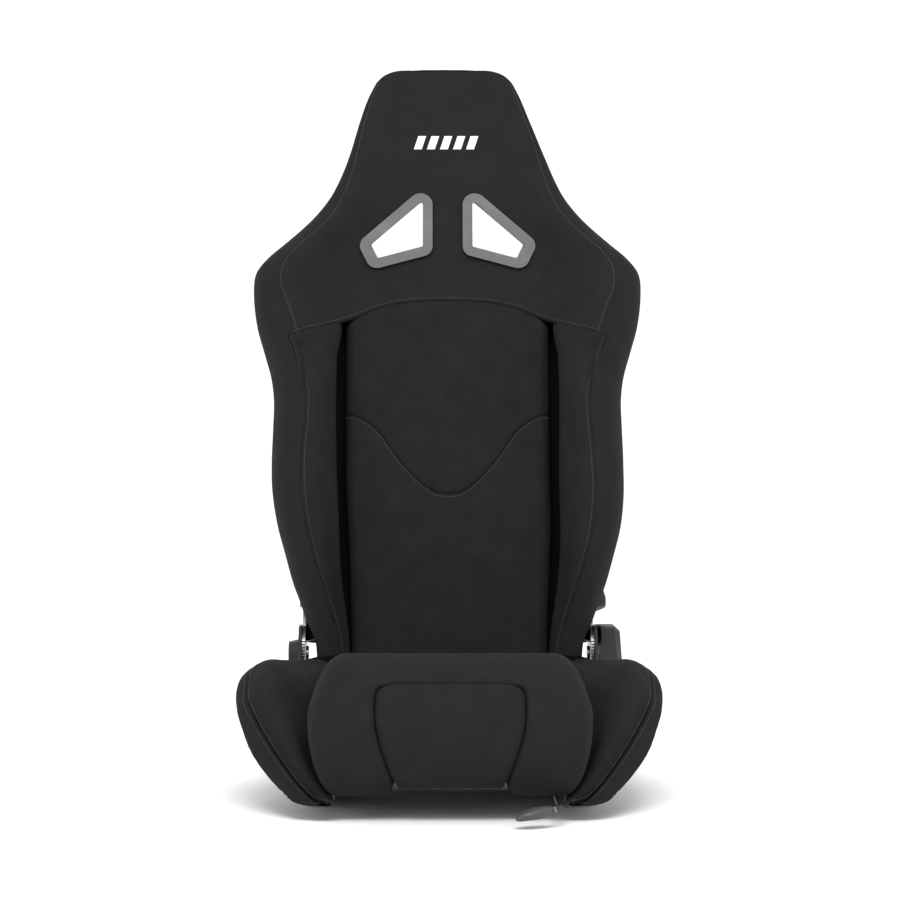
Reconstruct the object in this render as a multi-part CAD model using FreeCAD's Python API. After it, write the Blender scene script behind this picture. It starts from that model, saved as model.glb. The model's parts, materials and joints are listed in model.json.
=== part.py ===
import FreeCAD, Part
import math
import os

from FreeCAD import Matrix, Vector

# Reclining racing seat on two floor rails, in millimetres.
# +Z is up and -Y is the way the sitter faces, so +X is the sitter's left.
# The origin is the centre of the floor bolt pattern, on the underside of the rails.
# Everything on the slider is drawn about the seat's own middle, and save() moves it forward.

# ---- driving dimensions -------------------------------------------------------------------------
RAIL_X = 155.0            # centre line of each rail
RAIL_HALF_LENGTH = 180.0
FLOOR_BOLT_Y = 150.0      # half the spacing of the floor bolts along a rail
FLOOR_BOLT_R = 4.25
RAIL_TOP = 38.0
SEAT_AHEAD = 62.5         # the seat at rest stands this far ahead of the middle of the rails

BOX_INNER, BOX_OUTER = 138.0, 188.0   # side member of the base, 50 x 25 box section
BOX_BOTTOM, BOX_TOP = 38.0, 63.0
BOX_FRONT, BOX_REAR = -190.0, 215.0
BOX_WALL = 2.0

PIVOT_Y, PIVOT_Z = 190.0, 150.0       # recline axis
RECLINE_REST = 14.0                   # degrees behind vertical at rest
PIVOT_R = 6.0
RUNNING = 0.05                        # radial clearance of a running fit
ARM_X, PLATE_X, STEEL = 183.5, 188.0, 4.0
GEAR_TIP, GEAR_ROOT, GEAR_TEETH = 44.0, 41.8, 72
PAWL_GAP = 0.4

SHAFT_Y, SHAFT_Z = PIVOT_Y - 61.0, PIVOT_Z - 43.0   # recline lever and its cross shaft
SHAFT_R = 6.0
PAWL_PIN_Y, PAWL_PIN_Z = PIVOT_Y - 54.2, PIVOT_Z - 9.5
PAWL_PIN_R = 4.0
COVER_OUT = 221.7

LATCH_X, LATCH_Z = 120.0, 22.0        # slider release rod
ROD_R = 3.5

TUBE_R, TUBE_WALL = 12.5, 2.0         # back frame tube
UPRIGHT_X = 171.0
PAD_FRONT, PAD_BACK = -62.0, 22.0     # front of the insert and back of the foam, from the pivot plane
FRAME_FRONT = -12.5                   # behind this plane the pads leave room for frame and springs
INSERT_HALF = 134.0
ARCH_TOP, ARCH_END = 460.0, 431.0     # height of the insert's arched top edge
SLOT_RISE = 19.0                      # degrees that the belt slots rise towards the back
SEAT_HALF = 150.0                     # half the width of the centre cushion
SEAT_REAR, SEAT_REAR_MIDDLE = 103.0, 117.0

LEFT, RIGHT = 1, -1
os.makedirs("parts", exist_ok=True)


# ---- shape helpers ------------------------------------------------------------------------------
def box(x0, x1, y0, y1, z0, z1):
    return Part.makeBox(x1 - x0, y1 - y0, z1 - z0, Vector(x0, y0, z0))


def rod(axis, x, y, z, radius, length):
    """A cylinder from (x, y, z) along axis, one of "x", "y", "z"."""
    direction = {"x": Vector(1, 0, 0), "y": Vector(0, 1, 0), "z": Vector(0, 0, 1)}[axis]
    return Part.makeCylinder(radius, length, Vector(x, y, z), direction)


def tube_x(x0, x1, y, z, radius, bore):
    return rod("x", x0, y, z, radius, x1 - x0).cut(rod("x", x0 - 1, y, z, bore, x1 - x0 + 2))


def prism(plane, points, start, end):
    """Extrudes a closed polygon. plane "yz" runs along X, "xz" along Y and "xy" along Z."""
    place = {
        "yz": lambda a, b: Vector(start, a, b),
        "xz": lambda a, b: Vector(a, start, b),
        "xy": lambda a, b: Vector(a, b, start),
    }[plane]
    along = {"yz": Vector(1, 0, 0), "xz": Vector(0, 1, 0), "xy": Vector(0, 0, 1)}[plane]
    corners = [place(a, b) for a, b in points]
    face = Part.Face(Part.makePolygon(corners + corners[:1]))
    return face.extrude(along * (end - start))


def wire_face(wire):
    return Part.Face(Part.Wire(wire))


def rounded_wire(points, radii):
    """A closed wire through 3D points with its corners rounded by tangent arcs."""
    n = len(points)
    starts, ends, mids = [], [], []
    for i, corner in enumerate(points):
        to_last = (points[i - 1] - corner).normalize()
        to_next = (points[(i + 1) % n] - corner).normalize()
        half = to_last.getAngle(to_next) / 2
        reach = radii[i] / math.tan(half)
        bisector = (to_last + to_next).normalize()
        centre = corner + bisector * (radii[i] / math.sin(half))
        starts.append(corner + to_last * reach)
        ends.append(corner + to_next * reach)
        mids.append(centre - bisector * radii[i])
    edges = []
    for i in range(n):
        edges.append(Part.Arc(starts[i], mids[i], ends[i]).toShape())
        edges.append(Part.LineSegment(ends[i], starts[(i + 1) % n]).toShape())
    return Part.Wire(edges)


def path_wire(points, bend):
    """An open wire of straight runs joined by tangent arcs of radius bend."""
    edges = []
    last = points[0]
    for i in range(1, len(points) - 1):
        corner = points[i]
        to_last = (points[i - 1] - corner).normalize()
        to_next = (points[i + 1] - corner).normalize()
        half = to_last.getAngle(to_next) / 2
        reach = bend / math.tan(half)
        start, end = corner + to_last * reach, corner + to_next * reach
        bisector = (to_last + to_next).normalize()
        mid = corner + bisector * (bend / math.sin(half) - bend)
        edges.append(Part.LineSegment(last, start).toShape())
        edges.append(Part.Arc(start, mid, end).toShape())
        last = end
    edges.append(Part.LineSegment(last, points[-1]).toShape())
    return Part.Wire(edges)


def swept(points, bend, radius):
    """A round bar of that radius along a path_wire."""
    path = path_wire(points, bend) if len(points) > 2 else Part.Wire(Part.makeLine(*points))
    direction = (points[1] - points[0]).normalize()
    circle = Part.Wire(Part.makeCircle(radius, points[0], direction))
    return path.makePipeShell([circle], True, True)


def swept_tube(points, bend, radius, wall):
    return swept(points, bend, radius).cut(swept(points, bend, radius - wall))


def loft(sections):
    """A ruled solid through closed polygons of 3D points."""
    wires = [Part.makePolygon(s + s[:1]) for s in sections]
    return Part.makeLoft(wires, True, True)


def mirrored(shape):
    return shape.mirror(Vector(0, 0, 0), Vector(1, 0, 0))


def on_side(side, shape):
    """A shape drawn on the left (+X), or its mirror image on the right."""
    return shape if side == LEFT else mirrored(shape)


def hexagon(axis, x, y, z, across, height):
    """A hexagon head or nut from (x, y, z) along axis."""
    r = across / math.sqrt(3)
    turn = [(r * math.cos(k * math.pi / 3), r * math.sin(k * math.pi / 3)) for k in range(6)]
    if axis == "x":
        return prism("yz", [(y + a, z + b) for a, b in turn], x, x + height)
    return prism("xy", [(x + a, y + b) for a, b in turn], z, z + height)


def save(name, shapes, ahead=SEAT_AHEAD):
    """Writes one or more closed solids as one node, moved forward by ahead."""
    shapes = shapes if isinstance(shapes, list) else [shapes]
    solids = [s.translated(Vector(0, -ahead, 0)) for shape in shapes for s in shape.Solids]
    Part.makeCompound(solids).exportStep("parts/" + name + ".step")
    volume = sum(s.Volume for s in solids) / 1000
    state = "ok" if solids and all(s.isValid() and s.Volume > 0 for s in solids) else "BAD"
    print(f"{name:26s} {len(solids):3d} solids {volume:9.1f} cm3 {state}")


def lean_back(shape):
    """Takes a shape from the backrest's own frame, with the pivot at its origin, to its place."""
    moved = shape.copy()
    moved.rotate(Vector(0, 0, 0), Vector(1, 0, 0), -RECLINE_REST)
    moved.translate(Vector(0, PIVOT_Y, PIVOT_Z))
    return moved


# ---- slider rails -------------------------------------------------------------------------------
LOWER_HALF, LOWER_TOP, SHEET = 20.0, 24.0, 2.0
LIP_X, LIP_BOTTOM = 12.0, 16.15
UPPER_WEB, FLANGE_X, FLANGE_Z = 10.0, 17.2, 8.0
UPPER_FRONT = -165.0
BALL_R = 2.7
BALL_X, LOW_BALL_Z = 13.3, 5.0
HIGH_BALL_Z = FLANGE_Z + SHEET + BALL_R + 0.35
WINDOW_PITCH, WINDOW_Y, WINDOW_Z0, WINDOW_Z1 = 12.5, 6.5, 17.5, 21.8
WINDOWS = range(-8, 8)


def rail_lower():
    y0, y1 = -RAIL_HALF_LENGTH, RAIL_HALF_LENGTH
    outer = box(-LOWER_HALF, LOWER_HALF, y0, y1, 0, LOWER_TOP)
    inner = box(-LOWER_HALF + SHEET, LOWER_HALF - SHEET, y0, y1, SHEET, LOWER_TOP - SHEET)
    gap = box(-LIP_X, LIP_X, y0, y1, LOWER_TOP - SHEET, LOWER_TOP)
    rail = outer.cut(inner).cut(gap)
    for side in (LEFT, RIGHT):
        lip = box(LIP_X, LIP_X + SHEET, y0, y1, LIP_BOTTOM, LOWER_TOP - SHEET)
        rail = rail.fuse(on_side(side, lip))
    for y in (-FLOOR_BOLT_Y, FLOOR_BOLT_Y):
        rail = rail.cut(rod("z", 0, y, -1, FLOOR_BOLT_R, SHEET + 2))
    for k in WINDOWS:
        y = k * WINDOW_PITCH
        window = box(-LOWER_HALF - 1, -LOWER_HALF + SHEET + 1, y - WINDOW_Y / 2, y + WINDOW_Y / 2,
                     WINDOW_Z0, WINDOW_Z1)
        rail = rail.cut(window)
    return rail.removeSplitter()


def rail_upper():
    y0, y1 = UPPER_FRONT, RAIL_HALF_LENGTH
    rail = box(-UPPER_WEB, UPPER_WEB, y0, y1, FLANGE_Z, RAIL_TOP)
    rail = rail.cut(box(-UPPER_WEB + SHEET, UPPER_WEB - SHEET, y0, y1, 0, RAIL_TOP - SHEET))
    for side in (LEFT, RIGHT):
        flange = box(UPPER_WEB - SHEET, FLANGE_X, y0, y1, FLANGE_Z, FLANGE_Z + SHEET)
        rail = rail.fuse(on_side(side, flange))
    for y in RAIL_BOLTS_Y:
        rail = rail.cut(rod("z", 0, y, RAIL_TOP - 5, 4.2, 10))
    for y in (-FLOOR_BOLT_Y, FLOOR_BOLT_Y):
        rail = rail.cut(rod("z", 0, y, RAIL_TOP - 5, 7.0, 10))
    return rail.removeSplitter()


def ball_cage():
    """Four rows of balls, each held by a nylon strip."""
    pieces = []
    for side in (LEFT, RIGHT):
        for z in (LOW_BALL_Z, HIGH_BALL_Z):
            balls_y = [-100, -80, 80, 100]
            strip = box(BALL_X - 1.2, BALL_X + 1.2, -108, 108, z - 0.8, z + 0.8)
            for y in balls_y:
                ball = Part.makeSphere(BALL_R, Vector(BALL_X, y, z))
                seat = Part.makeSphere(BALL_R + 0.05, Vector(BALL_X, y, z))
                strip = strip.cut(seat)
                pieces.append(on_side(side, ball))
            pieces.append(on_side(side, strip))
    return pieces


RAIL_BOLTS_Y = (-120.0, 120.0)


def rail_bolt(y):
    """M8 bolt from inside the upper rail up into the side member, with its nut."""
    head = hexagon("z", RAIL_X, y, RAIL_TOP - SHEET - 5, 13, 5)
    shank = rod("z", RAIL_X, y, RAIL_TOP - SHEET, 4.0, SHEET + BOX_WALL + 11)
    nut = hexagon("z", RAIL_X, y, BOX_BOTTOM + BOX_WALL, 13, 6.5)
    return head.fuse(shank).fuse(nut).removeSplitter()


def slider_parts():
    for side, name in ((LEFT, "left"), (RIGHT, "right")):
        shift = Vector(RAIL_X, 0, 0)
        lower, upper = rail_lower(), rail_upper()
        lower.translate(shift)
        upper.translate(shift)
        cage = []
        for piece in ball_cage():
            piece.translate(shift)
            cage.append(on_side(side, piece))
        save(f"rail_lower_{name}", on_side(side, lower), ahead=0)
        save(f"rail_upper_{name}", on_side(side, upper))
        save(f"ball_cage_{name}", cage, ahead=SEAT_AHEAD / 2)
    save("rail_bolts", [on_side(s, rail_bolt(y)) for s in (LEFT, RIGHT) for y in RAIL_BOLTS_Y])


# ---- slider release -----------------------------------------------------------------------------
ROD_REAR, ROD_FRONT = 62.0, -320.0
BRACKET_Y = (-78.0, 48.0)
BRACKET_T = 3.0
FINGER_TIP = RAIL_X - LOWER_HALF - 0.8
CRANK_Y, CRANK_DROP, NECK_R = 20.0, 11.0, 5.0


def latch_comb():
    """Sleeve on the release rod with three fingers that point at the rail's windows."""
    sleeve = rod("y", LATCH_X, -24, LATCH_Z, 7.0, 36)
    for k in (-1, 0, 1):
        y = k * WINDOW_PITCH
        sleeve = sleeve.fuse(box(LATCH_X, FINGER_TIP, y - 2.5, y + 2.5, LATCH_Z - 3.2, LATCH_Z - 0.4))
    crank = box(LATCH_X - 4, LATCH_X + 4, CRANK_Y - 2, CRANK_Y + 2, LATCH_Z - CRANK_DROP - 4, LATCH_Z)
    crank = crank.fuse(rod("y", LATCH_X, CRANK_Y - 2, LATCH_Z, 7.0, 4))
    sleeve = sleeve.fuse(crank).fuse(rod("y", LATCH_X, 12, LATCH_Z, NECK_R, 8))
    pin_bore = rod("y", LATCH_X, CRANK_Y - 9, LATCH_Z - CRANK_DROP, 1.5 + RUNNING, 20)
    bore = rod("y", LATCH_X, -40, LATCH_Z, ROD_R, 90)
    return sleeve.cut(bore).cut(pin_bore).removeSplitter()


def latch_bracket(y):
    """Plate that carries the release rod, welded to the inner face of the side member."""
    outline = [(BOX_INNER, 61), (126, 61), (111, 40), (111, 13), (129, 13), (129, 30), (BOX_INNER, 39)]
    plate = prism("xz", outline, y, y + BRACKET_T)
    return plate.cut(rod("y", LATCH_X, y - 1, LATCH_Z, ROD_R + RUNNING, BRACKET_T + 2))


def latch_spring(y):
    """Torsion spring of close coils round the release rod."""
    coils = []
    for k in range(7):
        coils.append(Part.makeTorus(7.0, 0.9, Vector(LATCH_X, y + 1.9 * k, LATCH_Z), Vector(0, 1, 0)))
    return coils


GRIP_END = Vector(113.6, -323.2, 20.0)      # where the bent rod enters the grip


def release_bar(radius):
    """Round bar, straight to the front and then bent towards the middle of the seat."""
    corner = Vector(LATCH_X, ROD_FRONT, LATCH_Z)
    into_grip = GRIP_END + (GRIP_END - corner) * 1.2
    return swept([Vector(LATCH_X, ROD_REAR, LATCH_Z), corner, into_grip], 4.4, radius)


def ferrule():
    """Plated collar on the bar's end, against the grip."""
    along = (GRIP_END - Vector(LATCH_X, ROD_FRONT, LATCH_Z)).normalize()
    return Part.makeCylinder(4.1, 2.6, GRIP_END - along * 1.0, along).cut(release_bar(ROD_R))


def paddle():
    """Flat oval grip that points from the rod's end to the middle of the seat."""
    sections = []
    for x, y, z, half_deep, half_thick in (
        (111.6, -324.2, 19.4, 5.0, 4.5),
        (106, -326, 18.6, 8.0, 5.8),
        (97, -329, 17.2, 11.0, 6.8),
        (86, -332, 15.9, 12.0, 6.4),
        (78, -334, 14.0, 9.5, 5.2),
        (73, -335, 12.6, 6.0, 3.6),
        (71, -335, 12.1, 3.4, 2.0),
    ):
        ring = Part.Ellipse(Vector(x, y, z), half_deep, half_thick)
        edge = ring.toShape()
        edge.rotate(Vector(x, y, z), Vector(0, 1, 0), 90)
        edge.rotate(Vector(x, y, z), Vector(1, 0, 0), 90)
        sections.append(Part.Wire(edge))
    return Part.makeLoft(sections, True, False)


def release_parts():
    bar = release_bar(ROD_R)
    collar = ferrule()
    save("slider_release_rod", bar)
    save("slider_release_collar", collar)
    save("slider_release_grip", paddle().cut(bar).cut(collar))
    save("slider_latch_left", latch_comb())
    pivot = rod("y", LATCH_X, -83, LATCH_Z, ROD_R, 139)
    save("slider_latch_right", mirrored(latch_comb()))
    save("latch_pivot_right", mirrored(pivot))
    link_z = LATCH_Z - CRANK_DROP
    bar = box(-LATCH_X - 5, LATCH_X + 5, CRANK_Y - 6.3, CRANK_Y - 2.3, link_z - 3, link_z + 3)
    pins = [rod("y", s * LATCH_X, CRANK_Y - 6.3, link_z, 1.5, 9) for s in (LEFT, RIGHT)]
    save("latch_link", bar.fuse(pins[0]).fuse(pins[1]).removeSplitter())
    brackets = [on_side(s, latch_bracket(y)) for s in (LEFT, RIGHT) for y in BRACKET_Y]
    save("latch_brackets", brackets)
    save("latch_springs", [on_side(s, c) for s in (LEFT, RIGHT) for c in latch_spring(-62)])


# ---- base frame ---------------------------------------------------------------------------------
CROSS_FRONT, CROSS_REAR, CROSS_Z, CROSS_R = -172.0, 92.0, 50.5, 11.0


def side_member():
    outer = box(BOX_INNER, BOX_OUTER, BOX_FRONT, BOX_REAR, BOX_BOTTOM, BOX_TOP)
    w = BOX_WALL
    inner = box(BOX_INNER + w, BOX_OUTER - w, BOX_FRONT, BOX_REAR, BOX_BOTTOM + w, BOX_TOP - w)
    member = outer.cut(inner)
    for y in RAIL_BOLTS_Y:
        member = member.cut(rod("z", RAIL_X, y, BOX_BOTTOM - 1, 4.2, 4))
    for y in PLATE_BOLTS_Y:
        member = member.cut(rod("x", BOX_OUTER - 4, y, PLATE_BOLT_Z, 4.2, 8))
    return member


def cross_tube(y):
    return tube_x(-BOX_INNER, BOX_INNER, y, CROSS_Z, CROSS_R, CROSS_R - TUBE_WALL)


def zigzag(start, step, across, count, radius, bend):
    """Wire spring: start is a corner, step the advance per run, across the half sweep."""
    points = [start - across]
    for k in range(count):
        sign = 1 if k % 2 == 0 else -1
        middle = start + step * k
        points += [middle + across * sign, middle + step + across * sign]
    points.append(start + step * count - across * sign)
    return swept(points, bend, radius)


def seat_spring(x):
    front, rear, z = CROSS_FRONT + 4, CROSS_REAR - 4, CROSS_Z + CROSS_R + 1.8
    count = 12
    step = Vector(0, (rear - front) / count, 0)
    return zigzag(Vector(x, front, z), step, Vector(17, 0, 0), count, 1.8, 6.5)


def base_frame_parts():
    save("base_side_member_left", side_member())
    save("base_side_member_right", mirrored(side_member()))
    save("base_cross_tubes", [cross_tube(CROSS_FRONT), cross_tube(CROSS_REAR)])
    save("seat_springs", [seat_spring(x) for x in (-100, -50, 0, 50, 100)])


# ---- recliner -----------------------------------------------------------------------------------
PLATE_BOLTS_Y = (PIVOT_Y - 62, PIVOT_Y + 6)
PLATE_BOLT_Z = 51.0
ARM_BOLTS = (68.0, 112.0)       # height of the arm's bolts above the pivot, along the backrest
CAM_X = ARM_X
LEVER_X = COVER_OUT + 1.0
NOSE_R, NOSE_AT = 12.8, 2.0       # radius of the cam's nose centre, and degrees past the pawl at rest


def polar(radius, degrees):
    """A point round the pivot. 180 degrees points forward and 270 down."""
    a = math.radians(degrees)
    return PIVOT_Y + radius * math.cos(a), PIVOT_Z + radius * math.sin(a)


def toothed_sector(first, last):
    """Outline of the gear sector, in degrees round the pivot, as (y, z) points."""
    points = []
    pitch = 360.0 / GEAR_TEETH
    k = 0
    while first + k * pitch < last:
        a = first + k * pitch
        points.append(polar(GEAR_ROOT, a))
        points.append(polar(GEAR_TIP, a + pitch * 0.35))
        points.append(polar(GEAR_TIP, a + pitch * 0.65))
        k += 1
    points.append(polar(GEAR_ROOT, last))
    return points


def recliner_arm():
    """Upper hinge plate: a toothed disc round the pivot and a strap up the backrest's side."""
    gear = prism("yz", toothed_sector(150, 310) + [(PIVOT_Y, PIVOT_Z)], ARM_X, ARM_X + STEEL)
    disc = rod("x", ARM_X, PIVOT_Y, PIVOT_Z, GEAR_ROOT - 2, STEEL)
    strap = prism("yz", [(-25, 0), (-21, 90), (-13, 128), (13, 128), (21, 90), (27, 0)], ARM_X,
                  ARM_X + STEEL)
    arm = disc.fuse(gear).fuse(lean_back(strap))
    holes = [lean_back(rod("x", ARM_X - 1, 0, h, 4.2, STEEL + 2)) for h in ARM_BOLTS]
    holes.append(rod("x", ARM_X - 1, PIVOT_Y, PIVOT_Z, PIVOT_R + RUNNING, STEEL + 2))
    for hole in holes:
        arm = arm.cut(hole)
    return arm.removeSplitter()


def recliner_plate():
    """Lower hinge plate, bolted to the outer face of the side member."""
    outline = [(PIVOT_Y - 96, 41), (PIVOT_Y + 22, 41), (PIVOT_Y + 30, 70), (PIVOT_Y + 32, 140),
               (PIVOT_Y + 22, 172), (PIVOT_Y + 2, 188), (PIVOT_Y - 28, 188), (PIVOT_Y - 46, 168),
               (PIVOT_Y - 74, 144), (PIVOT_Y - 92, 112)]
    corners = [Vector(PLATE_X, y, z) for y, z in outline]
    wire = rounded_wire(corners, [6, 6, 20, 24, 10, 10, 10, 16, 16, 20])
    plate = wire_face(wire).extrude(Vector(STEEL, 0, 0))
    plate = plate.cut(rod("x", PLATE_X - 1, PIVOT_Y, PIVOT_Z, PIVOT_R, STEEL + 2))
    plate = plate.cut(rod("x", PLATE_X - 1, SHAFT_Y, SHAFT_Z, SHAFT_R + RUNNING, STEEL + 2))
    plate = plate.cut(rod("x", PLATE_X - 1, PAWL_PIN_Y, PAWL_PIN_Z, PAWL_PIN_R, STEEL + 2))
    for y in PLATE_BOLTS_Y:
        plate = plate.cut(rod("x", PLATE_X - 1, y, PLATE_BOLT_Z, 4.2, STEEL + 2))
    return plate


def pivot_bolt():
    head = rod("x", ARM_X - 3.2, PIVOT_Y, PIVOT_Z, 10, 3.0)
    shank = rod("x", ARM_X - 0.2, PIVOT_Y, PIVOT_Z, PIVOT_R, 17.0)
    nut = hexagon("x", PLATE_X + STEEL, PIVOT_Y, PIVOT_Z, 19, 6)
    return head.fuse(shank).fuse(nut)


def pawl():
    """Toothed block that swings on its pin and locks the sector."""
    inner = GEAR_TIP + PAWL_GAP
    points = [polar(58, a) for a in range(196, 247, 10)]
    pitch = 360.0 / GEAR_TEETH
    k = 0
    while 246 - k * pitch > 216:
        a = 246 - k * pitch
        points += [polar(inner + 2.2, a), polar(inner, a - pitch * 0.35), polar(inner, a - pitch * 0.65)]
        k += 1
    points += [polar(inner + 2.2, 214), polar(inner + 1.0, 200)]
    block = prism("yz", points, ARM_X, ARM_X + STEEL)
    boss = rod("x", ARM_X, PAWL_PIN_Y, PAWL_PIN_Z, 8.6, STEEL)
    body = block.fuse(boss)
    body = body.cut(rod("x", ARM_X - 1, PIVOT_Y, PIVOT_Z, inner, STEEL + 2))
    body = body.cut(rod("x", ARM_X - 1, PAWL_PIN_Y, PAWL_PIN_Z, PAWL_PIN_R + RUNNING, STEEL + 2))
    return body.removeSplitter()


def pawl_pin():
    head = rod("x", ARM_X - 2.2, PAWL_PIN_Y, PAWL_PIN_Z, 6.5, 2.0)
    return head.fuse(rod("x", ARM_X - 0.2, PAWL_PIN_Y, PAWL_PIN_Z, PAWL_PIN_R, 9.2))


def cross_shaft():
    """Shaft through both lower plates with a cam for each pawl."""
    shaft = rod("x", -(PLATE_X + STEEL + 5), SHAFT_Y, SHAFT_Z, SHAFT_R, PLATE_X + STEEL + 5 + LEVER_X + 8)
    towards = math.atan2(PIVOT_Z - SHAFT_Z, PIVOT_Y - SHAFT_Y) + math.radians(NOSE_AT)
    nose_y = SHAFT_Y + NOSE_R * math.cos(towards)
    nose_z = SHAFT_Z + NOSE_R * math.sin(towards)
    side_y, side_z = -8.5 * math.sin(towards), 8.5 * math.cos(towards)
    for side in (LEFT, RIGHT):
        cam = rod("x", CAM_X, SHAFT_Y, SHAFT_Z, 8.5, STEEL)
        cam = cam.fuse(rod("x", CAM_X, nose_y, nose_z, 3.0, STEEL))
        flank = [(SHAFT_Y + side_y, SHAFT_Z + side_z), (SHAFT_Y - side_y, SHAFT_Z - side_z),
                 (nose_y - side_y * 0.35, nose_z - side_z * 0.35),
                 (nose_y + side_y * 0.35, nose_z + side_z * 0.35)]
        cam = cam.fuse(prism("yz", flank, CAM_X, CAM_X + STEEL))
        shaft = shaft.fuse(on_side(side, cam))
    return shaft.removeSplitter()


def recline_lever():
    """Steel blade on the shaft's end, running forward along the seat's side."""
    y, z = SHAFT_Y, SHAFT_Z
    outline = [(y + 13, z - 12), (y + 13, z + 12), (y - 20, z + 11), (y - 60, z + 8), (y - 60, z - 6),
               (y - 20, z - 11)]
    corners = [Vector(LEVER_X, a, b) for a, b in outline]
    blade = wire_face(rounded_wire(corners, [9, 9, 12, 3, 3, 12])).extrude(Vector(3, 0, 0))
    boss = rod("x", LEVER_X, y, z, 10, 7)
    return blade.fuse(boss).cut(rod("x", LEVER_X - 1, y, z, SHAFT_R, 20)).removeSplitter()


def recline_grip():
    """Moulded grip over the blade's front end."""
    y, z = SHAFT_Y, SHAFT_Z
    sections = []
    for at, half_x, low, high in ((-46, 5.0, -9, 12), (-58, 6.4, -11, 14), (-96, 6.6, -10, 14), (-114, 4.0, -5, 9)):
        x = LEVER_X + 1.5
        corners = [Vector(x - half_x, y + at, z + low), Vector(x + half_x, y + at, z + low),
                   Vector(x + half_x, y + at, z + high), Vector(x - half_x, y + at, z + high)]
        sections.append(rounded_wire(corners, [half_x * 0.8] * 4))
    grip = Part.makeLoft(sections, True, False)
    return grip.cut(recline_lever())


COVER_WALL = 2.5


def cover_outline(grow):
    """(y, z) corners of the recliner cover, moved outwards by grow."""
    y = PIVOT_Y
    return [(y - 92 - grow, 82 - grow), (y + 40 + grow, 82 - grow), (y + 44 + grow, 140),
            (y + 30 + grow, 187 + grow), (y - 22, 187 + grow), (y - 60 - grow, 158 + grow),
            (y - 92 - grow, 132)]


def cover_block(grow, x_in, x_out):
    """Body of the recliner cover: straight sides, then a taper to a smaller outer face."""
    def ring(x, g):
        corners = [Vector(x, y, z) for y, z in cover_outline(g)]
        return rounded_wire(corners, [14 + g, 14 + g, 30, 14 + g, 20, 24, 14 + g])

    base = wire_face(ring(x_in, grow)).extrude(Vector(x_out - 7 - x_in, 0, 0))
    taper = Part.makeLoft([ring(x_out - 7, grow), ring(x_out, grow - 6)], True, True)
    return base.fuse(taper)


def recliner_cover():
    """Moulded cap over the recliner, open to the inside, with windows for plate and shaft."""
    x_in = PLATE_X + STEEL + 0.5
    shell = cover_block(0, x_in, COVER_OUT)
    shell = shell.cut(cover_block(-COVER_WALL, x_in - 1, COVER_OUT - COVER_WALL))
    window = box(x_in - 1, x_in + 4.5, PIVOT_Y - 64, PIVOT_Y - 10, 166, 200)
    shell = shell.cut(window)
    shell = shell.cut(rod("x", x_in, SHAFT_Y, SHAFT_Z, SHAFT_R + 1.5, 40))
    for y, z in COVER_SCREWS:
        post = rod("x", x_in, y, z, 6.0, COVER_OUT - COVER_WALL - x_in)
        shell = shell.fuse(post)
        shell = shell.cut(rod("x", x_in - 1, y, z, 2.6, 60))
        shell = shell.cut(rod("x", COVER_OUT - 2, y, z, 4.6, 5))
    return shell.removeSplitter()


COVER_SCREWS = ((PIVOT_Y + 26.0, 100.0), (PIVOT_Y + 14.0, 172.0))


def cover_screws():
    screws = []
    for y, z in COVER_SCREWS:
        screw = rod("x", PLATE_X + STEEL + 0.5, y, z, 2.4, COVER_OUT - 2 - PLATE_X - STEEL - 0.5)
        screws.append(screw.fuse(rod("x", COVER_OUT - 2, y, z, 4.2, 1.6)))
    return screws


def hinge_cap():
    """Small moulded cap over the free side's pivot nut."""
    x = PLATE_X + STEEL + 0.2
    cap = Part.makeCone(19, 16, 14, Vector(x, PIVOT_Y, PIVOT_Z), Vector(1, 0, 0))
    hollow = Part.makeCone(17, 14, 12, Vector(x - 0.01, PIVOT_Y, PIVOT_Z), Vector(1, 0, 0))
    return mirrored(cap.cut(hollow))


def spiral_spring():
    """Flat strip wound round the pivot, of half turns with growing radius."""
    x0, x1, strip = PLATE_X + STEEL + 7.5, PLATE_X + STEEL + 14.5, 1.8
    spring = None
    pitch = 4.0
    for k in range(6):
        radius = 9.0 + k * pitch / 2
        shift = (pitch / 2 if k % 2 else 0)
        ring = tube_x(x0, x1, PIVOT_Y + shift, PIVOT_Z, radius + strip, radius)
        upper = k % 2 == 0
        keep = box(x0 - 1, x1 + 1, PIVOT_Y - 60, PIVOT_Y + 60, PIVOT_Z if upper else PIVOT_Z - 60,
                   PIVOT_Z + 60 if upper else PIVOT_Z)
        half = ring.common(keep)
        spring = half if spring is None else spring.fuse(half)
    return spring.removeSplitter()


def arm_bolt(height):
    """Bolt through the arm into the back frame's upright."""
    head = hexagon("x", ARM_X + STEEL, 0, height, 13, 5)
    shank = rod("x", UPRIGHT_X, 0, height, 4.0, ARM_X + STEEL - UPRIGHT_X)
    return lean_back(head.fuse(shank))


def plate_bolt(y):
    head = hexagon("x", PLATE_X + STEEL, y, PLATE_BOLT_Z, 13, 5)
    shank = rod("x", BOX_OUTER - BOX_WALL - 8, y, PLATE_BOLT_Z, 4.0, 8 + BOX_WALL + STEEL)
    nut = hexagon("x", BOX_OUTER - BOX_WALL - 6.5, y, PLATE_BOLT_Z, 13, 6.5)
    return head.fuse(shank).fuse(nut)


def arm_trim():
    """Wedge-shaped moulded cap at the side of the backrest, over the arm's upper bolts."""
    sections = []
    for x, low, high, half in ((ARM_X + STEEL + 5.2, 58, 112, 20), (200, 60, 92, 16), (205.5, 62, 73, 12)):
        corners = [Vector(x, -half, low), Vector(x, half, low), Vector(x, half * 0.8, high),
                   Vector(x, -half * 0.8, high)]
        sections.append(rounded_wire(corners, [4, 4, 4, 4]))
    return Part.makeLoft(sections, True, True)


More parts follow.
